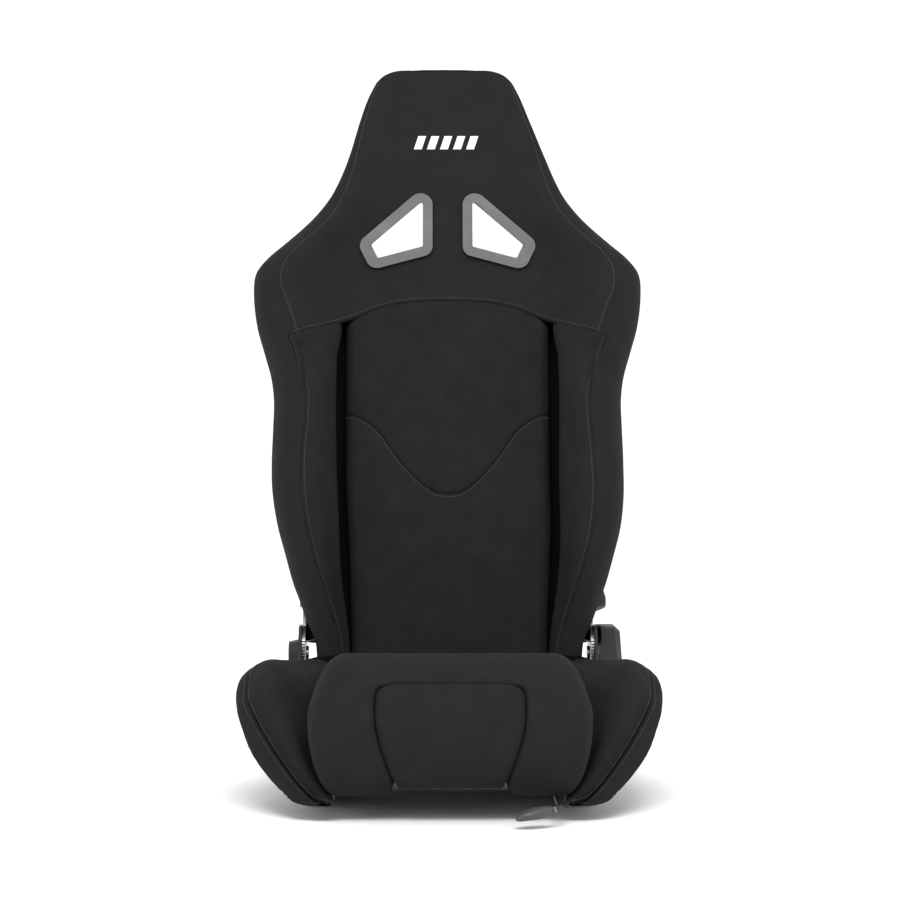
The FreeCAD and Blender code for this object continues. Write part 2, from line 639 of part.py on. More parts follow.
def recliner_parts():
    for side, name in ((LEFT, "left"), (RIGHT, "right")):
        save(f"recliner_arm_{name}", on_side(side, recliner_arm()))
        save(f"recliner_plate_{name}", on_side(side, recliner_plate()))
        save(f"recliner_pawl_{name}", on_side(side, pawl()))
    save("pivot_bolts", [on_side(s, pivot_bolt()) for s in (LEFT, RIGHT)])
    save("pawl_pins", [on_side(s, pawl_pin()) for s in (LEFT, RIGHT)])
    save("plate_bolts", [on_side(s, plate_bolt(y)) for s in (LEFT, RIGHT) for y in PLATE_BOLTS_Y])
    save("arm_bolts", [on_side(s, arm_bolt(h)) for s in (LEFT, RIGHT) for h in ARM_BOLTS])
    save("recliner_cross_shaft", cross_shaft())
    save("recline_lever", recline_lever())
    save("recline_grip", recline_grip())
    save("recliner_cover", recliner_cover())
    save("cover_screws", cover_screws())
    save("hinge_cap_right", hinge_cap())
    save("recliner_spiral_spring", spiral_spring())
    save("arm_trim_left", lean_back(arm_trim()))


# ---- backrest, in its own frame with the pivot at the origin ------------------------------------
# Each row: height, half width at the side, seam (x, y), inner edge (x, y).
BACK_SECTIONS = (
    (-15, 181, 142, -76, 138, -68),
    (40, 188, 148, -92, 138, -78),
    (90, 203, 162, -110, 139, -94),
    (140, 218, 176, -122, 140, -104),
    (200, 228, 187, -128, 141, -108),
    (300, 227, 186, -128, 141, -108),
    (350, 231, 190, -127, 141, -106),
    (400, 244, 201, -125, 141, -100),
    (445, 254, 216, -122, 140, -88),
    (483, 257, 223, -116, 138, -74),
    (511, 247, 208, -106, 134, -68),
    (533, 229, 189, -98, 130, -66),
    (555, 205, 168, -90, 126, -65),
    (585, 173, 148, -83, 120, -64),
    (620, 149, 135, -77, 110, -63),
    (670, 129, 121, -72, 98, -62),
    (725, 109, 101, -68, 80, -60),
    (762, 94, 84, -64, 66, -58),
    (782, 74, 66, -56, 50, -52),
    (791, 50, 44, -46, 34, -44),
)
SIDE_Y = -45.0
REAR_INSET = 14.0
HEAD_PAD_FOOT = 645.0     # the foam above the belt slots is a block of its own
SLOT_OUTLINE = ((20, 525), (20, 629.5), (119.5, 540), (101.5, 502.5))
SLOT_RADII = (14, 16, 15, 15)


def back_block():
    """The whole outside of the upholstered backrest."""
    sections = []
    for z, side, seam_x, seam_y, inner_x, inner_y in BACK_SECTIONS:
        foot_y = max(PAD_FRONT, inner_y) if z < ARCH_TOP else inner_y + 2
        rear = min(PAD_BACK, PAD_BACK - (z - 600) * 0.05)
        half = [(side - REAR_INSET, rear), (side, SIDE_Y), (seam_x, seam_y), (inner_x, inner_y),
                (inner_x - 3, foot_y)]
        ring = [Vector(x, y, z) for x, y in half] + [Vector(-x, y, z) for x, y in reversed(half)]
        sections.append(ring)
    return loft(sections)


def under_curve(points, y0, y1, floor=-40.0):
    """The space below a smooth curve in the XZ plane, between two depths."""
    curve = Part.BSplineCurve()
    curve.interpolate([Vector(x, y0, z) for x, z in points])
    left, right = points[0][0], points[-1][0]
    edges = [curve.toShape(),
             Part.makeLine(Vector(right, y0, points[-1][1]), Vector(right, y0, floor)),
             Part.makeLine(Vector(right, y0, floor), Vector(left, y0, floor)),
             Part.makeLine(Vector(left, y0, floor), Vector(left, y0, points[0][1]))]
    return Part.Face(Part.Wire(edges)).extrude(Vector(0, y1 - y0, 0))


def insert_region():
    arch = [(-INSERT_HALF, ARCH_END), (-64, 454), (0, ARCH_TOP), (64, 454), (INSERT_HALF, ARCH_END)]
    return under_curve(arch, -160, FRAME_FRONT)


def vee_region():
    vee = [(-INSERT_HALF, 306), (-95, 286), (-62, 241), (-30, 208), (0, 197), (30, 208), (62, 241),
           (95, 286), (INSERT_HALF, 306)]
    return under_curve(vee, -160, FRAME_FRONT)


def slot_wire(grow, depth):
    """Outline of a belt slot on the plane y = depth, moved outwards by grow."""
    rise = (depth - PAD_FRONT) * math.tan(math.radians(SLOT_RISE))
    corners = []
    for i, (x, z) in enumerate(SLOT_OUTLINE):
        corner = Vector(x, depth, z + rise)
        last, following = SLOT_OUTLINE[i - 1], SLOT_OUTLINE[(i + 1) % len(SLOT_OUTLINE)]
        to_last = Vector(last[0] - x, 0, last[1] - z).normalize()
        to_next = Vector(following[0] - x, 0, following[1] - z).normalize()
        bisector = (to_last + to_next).normalize()
        corners.append(corner - bisector * (grow / math.sin(to_last.getAngle(to_next) / 2)))
    return rounded_wire(corners, [max(r + grow, 3.0) for r in SLOT_RADII])


def slot_prism(grow, start, end):
    """A belt slot's outline run along its own rising direction from one depth to another."""
    face = wire_face(slot_wire(grow, start))
    along = Vector(0, end - start, (end - start) * math.tan(math.radians(SLOT_RISE)))
    return face.extrude(along)


BEZEL_WIDTH, SLEEVE_WALL = 13.0, 2.5
BEZEL_FRONT, BEZEL_JOINT, BEZEL_REAR = PAD_FRONT - 5.0, -18.0, PAD_BACK + 7.0


def bezel_front():
    """Moulded frame round the front of a slot, with a sleeve that runs half way through."""
    ring = slot_prism(0, BEZEL_FRONT, PAD_FRONT + 2)
    sleeve = slot_prism(-BEZEL_WIDTH + SLEEVE_WALL, PAD_FRONT, BEZEL_JOINT)
    opening = slot_prism(-BEZEL_WIDTH, BEZEL_FRONT - 5, BEZEL_JOINT + 5)
    return ring.fuse(sleeve).cut(opening).removeSplitter()


def bezel_rear():
    ring = slot_prism(0, PAD_BACK + 4.2, BEZEL_REAR)
    sleeve = slot_prism(-BEZEL_WIDTH + SLEEVE_WALL, BEZEL_JOINT, BEZEL_REAR)
    opening = slot_prism(-BEZEL_WIDTH, BEZEL_JOINT - 5, BEZEL_REAR + 5)
    return ring.fuse(sleeve).cut(opening).removeSplitter()


UPRIGHT_FOOT, UPRIGHT_TOP = 16.0, 430.0
HOOP = ((UPRIGHT_X, UPRIGHT_TOP), (168, 520), (92, 650), (62, 762), (-62, 762), (-92, 650), (-168, 520),
        (-UPRIGHT_X, UPRIGHT_TOP))


def back_frame():
    """The tubes of the back frame, by node name."""
    low, high = Vector(UPRIGHT_X, 0, UPRIGHT_FOOT), Vector(UPRIGHT_X, 0, UPRIGHT_TOP)
    upright = swept_tube([low, high], 10, TUBE_R, TUBE_WALL)
    hoop = swept_tube([Vector(x, 0, z) for x, z in HOOP], 34, TUBE_R, TUBE_WALL)
    hoop = hoop.cut(box(-200, 200, -30, 30, UPRIGHT_TOP - 10, UPRIGHT_TOP))
    cross = [rod("x", -UPRIGHT_X, 0, z, 9, 2 * UPRIGHT_X).cut(rod("x", -UPRIGHT_X, 0, z, 7.2, 2 * UPRIGHT_X))
             for z in CROSS_HEIGHTS]
    height = UPRIGHT_TOP - UPRIGHT_FOOT
    outer = [rod("z", s * UPRIGHT_X, 0, UPRIGHT_FOOT, TUBE_R, height) for s in (LEFT, RIGHT)]
    cross = [c.cut(outer[0]).cut(outer[1]) for c in cross]
    holes = [rod("x", UPRIGHT_X, 0, h, 4.0, 20) for h in ARM_BOLTS]
    upright = upright.cut(holes[0]).cut(holes[1])
    return {"back_upright_left": [upright], "back_upright_right": [mirrored(upright)],
            "back_top_hoop": [hoop], "back_cross_tubes": cross}


CROSS_HEIGHTS = (52.0, 404.0)
SPRING_HEIGHTS = (120.0, 195.0, 270.0, 345.0)


def back_spring(height):
    """Zigzag wire spring strung between the uprights."""
    half, count = UPRIGHT_X - TUBE_R - 1.6, 14
    step = Vector(2 * half / count, 0, 0)
    return zigzag(Vector(-half, -10, height), step, Vector(0, 0, 16), count, 1.5, 6.0)


def frame_room():
    """Space inside the pads for tubes, springs and arms."""
    hoop = swept([Vector(x, 0, z) for x, z in HOOP], 34, TUBE_R + 0.2)
    room = [hoop]
    half = UPRIGHT_X - TUBE_R
    hollow = box(-half, half, FRAME_FRONT, PAD_BACK + 10, -20, 424)
    room.append(hollow)
    for side in (LEFT, RIGHT):
        room.append(on_side(side, rod("z", UPRIGHT_X, 0, -20, TUBE_R + 0.2, UPRIGHT_TOP + 20)))
        arm = box(UPRIGHT_X, ARM_X + STEEL + 5.1, -28, 30, -20, 134)
        room.append(on_side(side, arm))
    for z in CROSS_HEIGHTS:
        room.append(rod("x", -UPRIGHT_X, 0, z, 9.2, 2 * UPRIGHT_X))
    return room


def back_pads():
    block = back_block()
    insert, vee = insert_region(), vee_region()
    seam = [(INSERT_HALF, ARCH_END), (160, 424), (201, 401), (280, 396), (280, -40), (INSERT_HALF, -40)]
    side_region = prism("xz", seam, -160, 60)
    insert_pad = block.common(insert)
    lower = insert_pad.common(vee)
    upper = insert_pad.cut(vee)
    bolster = block.common(side_region)
    yoke_cut = Part.makeCompound([side_region, mirrored(side_region), insert])
    under_arch = box(-INSERT_HALF, INSERT_HALF, -160, 60, -40, ARCH_END - 6)
    yoke = block.cut(yoke_cut).cut(under_arch)
    room = frame_room()
    for tool in room:
        bolster = bolster.cut(tool)
        yoke = yoke.cut(tool)
    for side in (LEFT, RIGHT):
        yoke = yoke.cut(on_side(side, slot_prism(-BEZEL_WIDTH + SLEEVE_WALL, -100, 60)))
        yoke = yoke.cut(on_side(side, slot_prism(0, -100, PAD_FRONT + 2)))
    save("back_insert_upper", lean_back(upper))
    save("back_insert_lower", lean_back(lower))
    save("back_bolster_left", lean_back(bolster.cut(arm_trim())))
    save("back_bolster_right", lean_back(mirrored(bolster)))
    save("back_head_pad", lean_back(yoke.cut(box(-300, 300, -200, 100, 300, HEAD_PAD_FOOT))))
    shoulders = yoke.cut(box(-300, 300, -200, 100, HEAD_PAD_FOOT, 900))
    save("back_shoulder_pad_left", lean_back(shoulders.cut(box(-300, 0, -200, 100, 300, 900))))
    save("back_shoulder_pad_right", lean_back(shoulders.cut(box(0, 300, -200, 100, 300, 900))))


def rear_cover():
    """Stiff rear panel that closes the back of the backrest."""
    heights = [(s[0], s[1] - REAR_INSET - 4) for s in BACK_SECTIONS]
    right = [Vector(x, PAD_BACK + 0.2, z) for z, x in heights]
    left = [Vector(-p.x, p.y, p.z) for p in reversed(right)]
    panel = Part.Face(Part.makePolygon(right + left + right[:1])).extrude(Vector(0, 4, 0))
    for side in (LEFT, RIGHT):
        panel = panel.cut(on_side(side, slot_prism(-BEZEL_WIDTH + SLEEVE_WALL, -100, 60)))
    return panel


def back_parts():
    for name, solids in back_frame().items():
        save(name, [lean_back(s) for s in solids])
    save("back_springs", [lean_back(back_spring(z)) for z in SPRING_HEIGHTS])
    back_pads()
    save("back_rear_cover", lean_back(rear_cover()))
    for side, name in ((LEFT, "left"), (RIGHT, "right")):
        save(f"slot_bezel_{name}", lean_back(on_side(side, bezel_front())))
        save(f"slot_bezel_rear_{name}", lean_back(on_side(side, bezel_rear())))


# ---- base cushion -------------------------------------------------------------------------------
# Side profile of the centre cushion: rear, sitting surface, thigh roll, front lip.
SEAT_FLOOR = 66.0
SEAT_TOP = ((SEAT_REAR_MIDDLE, 149), (20, 147), (-60, 153), (-150, 169), (-236, 182), (-284, 162), (-304, 112),
            (-299, 62), (-282, 36), (-262, 32))
# Each row: y, inner top z, ridge (x, z), side (x, z), lower outer (x, z), lower inner z.
BOLSTER_SECTIONS = (
    (SEAT_REAR, 149, 166, 160, 182, 150, 182, 70, 64),
    (50, 148, 184, 168, 203, 148, 192, 68, 64),
    (-10, 149, 198, 174, 224, 142, 196, 66, 64),
    (-80, 156, 208, 178, 243, 130, 198, 66, 64),
    (-135, 160, 211, 173, 249, 114, 196, 66, 64),
    (-192, 140, 202, 148, 238, 84, 190, 65, 64),
    (-232, 108, 186, 108, 213, 52, 174, 34, 34),
    (-262, 74, 170, 66, 184, 28, 160, 21, 24),
    (-278, 50, 160, 40, 166, 22, 154, 19, 22),
)
FRONT_PANEL = ((-62, 25), (-76, 92), (-84, 126), (-76, 153), (76, 153), (84, 126), (76, 92), (62, 25))


def seat_profile():
    """Solid of the centre cushion, with its rear corners cut back for the backrest's bolsters."""
    curve = Part.BSplineCurve()
    points = [Vector(-SEAT_HALF, y, z) for y, z in SEAT_TOP]
    curve.interpolate(points)
    floor = [points[-1], Vector(-SEAT_HALF, -206, 36), Vector(-SEAT_HALF, -206, SEAT_FLOOR),
             Vector(-SEAT_HALF, SEAT_REAR_MIDDLE, SEAT_FLOOR), points[0]]
    edges = [curve.toShape()] + [Part.makeLine(floor[i], floor[i + 1]) for i in range(4)]
    block = Part.Face(Part.Wire(edges)).extrude(Vector(2 * SEAT_HALF, 0, 0))
    for side in (LEFT, RIGHT):
        block = block.cut(on_side(side, box(126, SEAT_HALF, SEAT_REAR, 130, 0, 200)))
    return block


def seat_bolster():
    sections = []
    for y, top, ridge_x, ridge_z, side_x, side_z, low_x, low_z, inner_z in BOLSTER_SECTIONS:
        sections.append([Vector(SEAT_HALF, y, top), Vector(ridge_x, y, ridge_z), Vector(side_x, y, side_z),
                         Vector(low_x, y, low_z), Vector(SEAT_HALF, y, inner_z)])
    return loft(sections)


def base_pads():
    cushion = seat_profile()
    corners = [Vector(x, -330, z) for x, z in FRONT_PANEL]
    wire = rounded_wire(corners, [4, 40, 40, 14, 14, 40, 40, 4])
    panel_room = wire_face(wire).extrude(Vector(0, 66, 0))
    save("seat_front_panel", cushion.common(panel_room))
    save("seat_cushion", cushion.cut(panel_room))
    save("seat_bolster_left", seat_bolster())
    save("seat_bolster_right", mirrored(seat_bolster()))


slider_parts()
release_parts()
base_frame_parts()
recliner_parts()
back_parts()
base_pads()
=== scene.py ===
import json
import math

import bpy
import numpy as np
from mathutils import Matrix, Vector


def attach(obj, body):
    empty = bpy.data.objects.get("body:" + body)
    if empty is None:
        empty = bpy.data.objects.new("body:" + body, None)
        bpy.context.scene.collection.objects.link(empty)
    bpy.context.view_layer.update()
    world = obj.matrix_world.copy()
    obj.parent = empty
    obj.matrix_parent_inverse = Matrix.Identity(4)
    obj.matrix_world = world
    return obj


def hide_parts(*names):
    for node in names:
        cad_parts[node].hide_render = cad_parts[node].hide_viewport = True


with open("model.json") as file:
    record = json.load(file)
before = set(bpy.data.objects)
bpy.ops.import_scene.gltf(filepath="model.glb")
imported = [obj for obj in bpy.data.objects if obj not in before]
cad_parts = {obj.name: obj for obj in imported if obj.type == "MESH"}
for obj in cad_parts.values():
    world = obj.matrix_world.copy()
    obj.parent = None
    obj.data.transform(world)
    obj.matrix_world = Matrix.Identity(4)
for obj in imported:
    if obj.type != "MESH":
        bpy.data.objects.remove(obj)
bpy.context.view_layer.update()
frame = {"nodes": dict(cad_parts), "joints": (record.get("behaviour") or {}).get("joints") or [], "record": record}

# Shapes are worked out in millimetres and turned into metres when a mesh is made. Backrest panels
# are drawn in the backrest's own frame: x across, y to the rear, z up along it. Base panels are
# drawn about the seat's own middle. Both are then moved to the row frame of the CAD nodes.
MM = 0.001
PIVOT = next(j for j in frame["joints"] if j["name"] == "recline")["pos_m"]
RECLINE = math.radians(14)
REARWARD = (0.0, math.cos(RECLINE), -math.sin(RECLINE))     # the backrest's y axis in the row frame
AHEAD = 62.5                                                # the seat's middle stands this far ahead
# The padding sits a few millimetres unevenly: its shift across, against height on the backrest.
UNEVEN = ((-20, 1.8), (130, 2.2), (240, -0.4), (640, -0.4), (740, -4.2), (800, -4.5))


# ---- numbers and curves -------------------------------------------------------------------------
def hermite(t, width, start, end, slope_in, slope_out):
    """Cubic from start to end as t goes from 0 to 1 over the width, with a slope at each end."""
    return (start * (1 + 2 * t) * (1 - t) ** 2 + slope_in * width * t * (1 - t) ** 2
            + end * t * t * (3 - 2 * t) + slope_out * width * t * t * (t - 1))


def pchip(xs, ys, q):
    """Smooth interpolation that never overshoots its values, held at the last one beyond each end."""
    xs, ys, q = np.asarray(xs, float), np.asarray(ys, float), np.asarray(q, float)
    steps = np.diff(xs)
    rates = np.diff(ys) / steps
    slopes = np.zeros_like(ys)
    for i in range(1, len(xs) - 1):
        if rates[i - 1] * rates[i] > 0:
            a, b = 2 * steps[i] + steps[i - 1], steps[i] + 2 * steps[i - 1]
            slopes[i] = (a + b) / (a / rates[i - 1] + b / rates[i])
    slopes[0], slopes[-1] = rates[0], rates[-1]
    k = np.clip(np.searchsorted(xs, q) - 1, 0, len(steps) - 1)
    t = np.clip((q - xs[k]) / steps[k], 0, 1)
    return hermite(t, steps[k], ys[k], ys[k + 1], slopes[k], slopes[k + 1])


def look_up(table, q):
    """Smooth value at q of a table of (place, value) pairs."""
    return pchip(*zip(*table), q)


def arc_lengths(p, axis=0):
    """Length travelled up to each point, along a line of points or along one axis of a grid."""
    steps = np.linalg.norm(np.diff(p, axis=axis), axis=-1)
    zero = np.zeros_like(np.take(steps, [0], axis=axis))
    return np.concatenate([zero, np.cumsum(steps, axis=axis)], axis=axis)


def curve(points, count=None, at=None):
    """Points along a smooth line through the given points, evenly spread or at given fractions."""
    p = np.asarray(points, float)
    gaps = np.linalg.norm(np.diff(p, axis=0), axis=1) ** 0.5
    knots = np.concatenate([[0], np.cumsum(gaps)])
    tangents = np.zeros_like(p)
    for i in range(1, len(p) - 1):
        a, b = knots[i] - knots[i - 1], knots[i + 1] - knots[i]
        tangents[i] = ((p[i] - p[i - 1]) / a * b + (p[i + 1] - p[i]) / b * a) / (a + b)
    tangents[0] = (p[1] - p[0]) / (knots[1] - knots[0])
    tangents[-1] = (p[-1] - p[-2]) / (knots[-1] - knots[-2])

    def evaluate(u):
        k = np.clip(np.searchsorted(knots, u, side="right") - 1, 0, len(gaps) - 1)
        width = (knots[k + 1] - knots[k])[:, None]
        t = (u - knots[k])[:, None] / width
        return hermite(t, width, p[k], p[k + 1], tangents[k], tangents[k + 1])

    dense_u = np.linspace(0, knots[-1], 40 * len(p))
    along = arc_lengths(evaluate(dense_u))
    want = (np.linspace(0, 1, count) if at is None else np.asarray(at, float)) * along[-1]
    return evaluate(np.interp(want, along, dense_u))


def smoothstep(t):
    t = np.clip(t, 0, 1)
    return t * t * (3 - 2 * t)


def mirror_x(p):
    q = np.array(p, float)
    q[..., 0] *= -1
    return q


def lean(p):
    """Backrest frame to row frame."""
    c, s = math.cos(RECLINE), math.sin(RECLINE)
    p = np.asarray(p, float)
    out = np.empty_like(p)
    out[..., 0] = p[..., 0] + look_up(UNEVEN, p[..., 2])
    out[..., 1] = PIVOT[1] / MM + p[..., 1] * c + p[..., 2] * s
    out[..., 2] = PIVOT[2] / MM - p[..., 1] * s + p[..., 2] * c
    return out


def settle(p):
    """Base frame to row frame."""
    return np.asarray(p, float) + (0, -AHEAD, 0)


def grid_normals(p):
    n = np.cross(np.gradient(p, axis=1), np.gradient(p, axis=0))
    return n / np.maximum(np.linalg.norm(n, axis=-1, keepdims=True), 1e-9)


# ---- meshes -------------------------------------------------------------------------------------
def link(obj):
    bpy.context.scene.collection.objects.link(obj)
    return obj


def mesh_object(name, verts, faces, uv=None):
    mesh = bpy.data.meshes.new(name)
    mesh.from_pydata([tuple(v) for v in np.asarray(verts) * MM], [], [tuple(f) for f in faces])
    mesh.polygons.foreach_set("use_smooth", [True] * len(mesh.polygons))
    if uv is not None:
        layer = mesh.uv_layers.new(name="weave")
        loops = np.zeros(len(mesh.loops), int)
        mesh.loops.foreach_get("vertex_index", loops)
        layer.data.foreach_set("uv", (np.asarray(uv)[loops] * MM).ravel())
    mesh.update()
    return link(bpy.data.objects.new(name, mesh))


def grid_faces(rows, cols, keep=None, flip=False):
    faces = []
    for i in range(rows - 1):
        for j in range(cols - 1):
            if keep is None or keep[i, j]:
                a = i * cols + j
                quad = (a, a + 1, a + cols + 1, a + cols)
                faces.append(quad[::-1] if flip else quad)
    return faces


# ---- sewn panels --------------------------------------------------------------------------------
CROWN_RUN = 28.0      # how soon a panel's crown rises away from its seams
FOLD_POWER = 1.3      # how sharply the fabric folds down at a seam
SEWN = {}             # points, normals and distances to the borders of each panel, for the stitches


def border_strip(grid, side):
    """The border of a grid that side names, as a strip one point wide."""
    return np.take(grid, [0 if side in "lb" else -1], axis=1 if side in "lr" else 0)


def add_strip(grid, side, strip):
    """A grid with a strip put on beyond the border that side names."""
    parts = [strip, grid] if side in "lb" else [grid, strip]
    return np.concatenate(parts, axis=1 if side in "lr" else 0)


def panel(name, p, seams="lrbt", outward=1, bulge=0.0, tuck=2.0, width=3.5, skirt=14.0, keep=None,
          into=None):
    """A sewn fabric panel on a grid of points, in the row frame.

    seams names the borders that are sewn: l and r are the first and last column, b and t the first
    and last row. Near a seam the fabric dips by tuck, one number or one for each border, and a
    hidden skirt runs on into the seam, straight in or in the direction that into gives the border.
    """
    n = grid_normals(p) * outward
    across, along = arc_lengths(p, 1), arc_lengths(p, 0)
    gaps = {"l": across, "r": across[:, -1:] - across, "b": along, "t": along[-1:, :] - along}
    nearest, dip = np.full(p.shape[:2], 1e9), np.zeros(p.shape[:2])
    for side in seams:
        depth = tuck[side] if isinstance(tuck, dict) else tuck
        nearest = np.minimum(nearest, gaps[side])
        dip = np.maximum(dip, depth * np.exp(-((gaps[side] / width) ** FOLD_POWER)))
    crown = bulge * (1 - np.exp(-nearest / CROWN_RUN))
    p = p + n * (crown - dip)[..., None]
    uv = np.stack([across, along], axis=-1)
    SEWN[name] = (p, n, gaps)
    if skirt:
        for side in seams:
            edge_n = border_strip(n, side)
            way = np.array(into[side]) if into else -edge_n
            p = add_strip(p, side, border_strip(p, side) + way * skirt)
            n = add_strip(n, side, edge_n)
            uv = add_strip(uv, side, border_strip(uv, side))
            if keep is not None:
                keep = add_strip(keep, side, np.ones_like(border_strip(keep, side)))
    faces = grid_faces(*p.shape[:2], keep, flip=outward > 0)
    return mesh_object(name, p.reshape(-1, 3), faces, uv.reshape(-1, 2))


# ---- backrest surfaces --------------------------------------------------------------------------
FOOT_Z = -15.0            # lower edge of the front panels
SHOULDER_Z = 428.0        # where the yoke's seam meets the groove
PAD_BACK = 22.0           # rear side of the padding
# Left half of the rim, from the foot to the middle of the head's top. Each row: x, y, z of the seam
# on the front, then x, z of the widest line behind it.
RIM = np.array((
    (138, -80, -15, 168, -15), (142.5, -88, 10, 171, 10), (150.5, -98, 38, 183, 38),
    (158.5, -106.5, 64, 192.3, 64), (164.5, -112, 84, 200, 84), (176, -120, 120, 210.5, 120),
    (185, -125, 160, 221, 160), (188.5, -128, 200, 226.5, 200), (187.5, -129, 240, 227.5, 240),
    (183.5, -129, 285, 226.5, 285), (182.5, -128, 325, 226, 325), (187, -127, 360, 230.5, 360),
    (197.5, -125, 394, 240, 394), (209, -122, 430, 250, 430), (221.5, -117, 467, 254.5, 468),
    (219, -112, 492, 253, 494), (206, -106, 514, 241, 512), (188, -99, 534, 221, 531),
    (167, -92, 556, 195, 556), (153, -88, 575, 177, 575), (140.5, -82, 603, 157, 602),
    (131.5, -78, 630, 144, 628), (121, -73, 674, 128, 670), (110.5, -68, 712, 115.5, 709),
    (97, -64, 755, 100.5, 750), (87, -61, 773, 88, 771), (66, -57, 785, 70, 783),
    (37, -54, 789, 43, 790), (0, -53, 790, 0, 792),
), float)
UP_THE_SIDE = slice(0, -3)               # the rim's rows below the flat top of the head
SIDE_Y = -45.0                           # depth of the widest line
HEAD_SIDE_Y = (-42, -40, -38, -36, -35)  # and of its last rows, on the head
# Half width of the insert, and x and y of the bolster's inner edge, against height.
GROOVE = ((-15, 126.6), (38, 127.5), (97, 129.7), (175, 133.3), (295, 134.5), (408, 134.5), (432, 136.5))
INNER_X = ((-15, 127.6), (-4, 128.1), (34, 132.2), (54, 135), (92, 139.7), (132, 142.2), (210, 143.6),
           (327, 145.6), (382, 145), (405, 140.5), (424, 138), (432, 137.5))
INNER_Y = ((-15, -66), (40, -76), (90, -90), (140, -100), (200, -105), (340, -105), (375, -100),
           (400, -91), (415, -81), (430, -72))
# Depth of the front along its middle, and the share of its half width that stays flat, against height.
CENTRE_Y = ((-15, -62), (60, -64), (140, -67), (260, -64), (400, -61.5), (470, -61), (640, -60),
            (725, -58), (775, -55), (792, -51))
FLAT_SHARE = ((400, 0.5), (470, 0.52), (560, 0.55), (640, 0.45), (792, 0.3))
# Heights of the seams that cross the front, against distance from the middle: the arch between
# yoke and insert, the seam between yoke and bolster, and the vee between the two inserts.
ARCH = ((0, 460), (40, 458.5), (63, 456), (96, 447.5), (136, 428))
SHOULDER = ((136, 428), (148, 420.5), (170, 408), (197, 395), (201, 393))
VEE = ((0, 197), (15, 199), (30, 208), (62, 241), (95, 286), (115, 300), (135, 306))
VEE_HALF, ARCH_HALF = 135, 137           # half widths of the insert at these seams


def rim_half(at):
    """Points of the seam and of the widest line on the left half, at fractions of the rim's length."""
    side = np.stack([RIM[:, 3], np.full(len(RIM), SIDE_Y), RIM[:, 4]], axis=-1)
    side[-len(HEAD_SIDE_Y):, 1] = HEAD_SIDE_Y
    both = curve(np.concatenate([RIM[:, :3], side], axis=1), at=at)
    return both[:, :3], both[:, 3:]


def seam_x(z):
    return pchip(RIM[UP_THE_SIDE, 2], RIM[UP_THE_SIDE, 0], z)


def seam_y(z):
    return pchip(RIM[UP_THE_SIDE, 2], RIM[UP_THE_SIDE, 1], z)


def front_y(x, z):
    """Depth of the yoke's front, which falls away from its flat middle to the rim seam."""
    centre, flat = look_up(CENTRE_Y, z), look_up(FLAT_SHARE, z)
    ratio = np.abs(x) / np.maximum(seam_x(z), 1)
    return centre + (seam_y(z) - centre) * smoothstep((ratio - flat) / (1 - flat))


def insert_panel(name, low, high, rows, seams):
    """Part of the insert between two seams, rolled over at its sides into the grooves."""
    hollow, radius, roll_stretch, play = 2.5, 15.0, 1.25, 0.5
    t = np.linspace(-1, 1, 75)
    s = 0.55 * t + 0.45 * np.sin(t * math.pi / 2)       # closer columns where the sides roll over
    v = np.linspace(0, 1, rows)[:, None]
    z = low(s)[None, :] * (1 - v) + high(s)[None, :] * v
    half = look_up(GROOVE, z)
    x = s[None, :] * (half - play)
    y = look_up(CENTRE_Y, z) - hollow * (1 - s[None, :] ** 2)
    close = np.clip(radius - (half - np.abs(x)), 0, radius)
    y = y + (radius - np.sqrt(np.maximum(radius ** 2 - close ** 2, 0))) * roll_stretch
    return panel(name, lean(np.stack([x, y, z], axis=-1)), seams=seams, bulge=2.0,
                 tuck={"l": 0, "r": 0, "b": 1.5, "t": 1.5}, width=2.8, skirt=16)


def height_at(table, half):
    """A seam's height against the share of the half width."""
    return lambda s: look_up(table, np.abs(s) * half)


def inner_bolster(name, side):
    """From the bottom of the groove over the inner edge to the rim seam."""
    rows, cols = 130, 44
    root_y, flush_z, seam_play = -34, 372, 1.2
    grid = np.zeros((rows, cols, 3))
    q = np.linspace(0, 1, cols)
    base_z = np.linspace(FOOT_Z, SHOULDER_Z, rows)
    for i, z in enumerate(base_z):
        edge_x, edge_y = float(look_up(INNER_X, z)), float(look_up(INNER_Y, z))
        rim_x, rim_y = seam_x(z), seam_y(z)
        round_off = min(9.0, 0.3 * (rim_x - edge_x))
        section = ((edge_x + 10, root_y), (edge_x + 6, (edge_y - 36) / 2 - 4), (edge_x + 0.6, edge_y + 12),
                   (edge_x + round_off, edge_y - 2.5),
                   ((edge_x + rim_x) / 2 + 3, (edge_y + rim_y) / 2 - 5), (rim_x, rim_y))
        grid[i, :, :2] = curve(section, at=q)
    # The rows are spread between the foot and the shoulder seam, which slopes.
    top = look_up(SHOULDER, grid[-1, :, 0]) + seam_play
    share = (base_z - FOOT_Z) / (SHOULDER_Z - FOOT_Z)
    grid[:, :, 2] = FOOT_Z + share[:, None] * (top[None, :] - FOOT_Z)
    grid[:, -1, 0], grid[:, -1, 1] = seam_x(grid[:, -1, 2]), seam_y(grid[:, -1, 2])
    # The top rows come flush with the yoke above the shoulder seam.
    near_top = smoothstep((grid[:, :, 2] - flush_z) / (top[None, :] - flush_z))
    on_front = np.clip((look_up(INNER_Y, grid[:, :, 2]) + 12 - grid[:, :, 1]) / 8, 0, 1)
    grid[:, :, 1] += near_top * on_front * (front_y(grid[:, :, 0], grid[:, :, 2]) - grid[:, :, 1])
    return panel(name, lean(grid if side > 0 else mirror_x(grid)), seams="lrt", outward=side, bulge=2.2,
                 tuck={"l": 0, "r": 1.6, "t": 1.0}, width=3.0, skirt=6, into=dict.fromkeys("lrt", REARWARD))


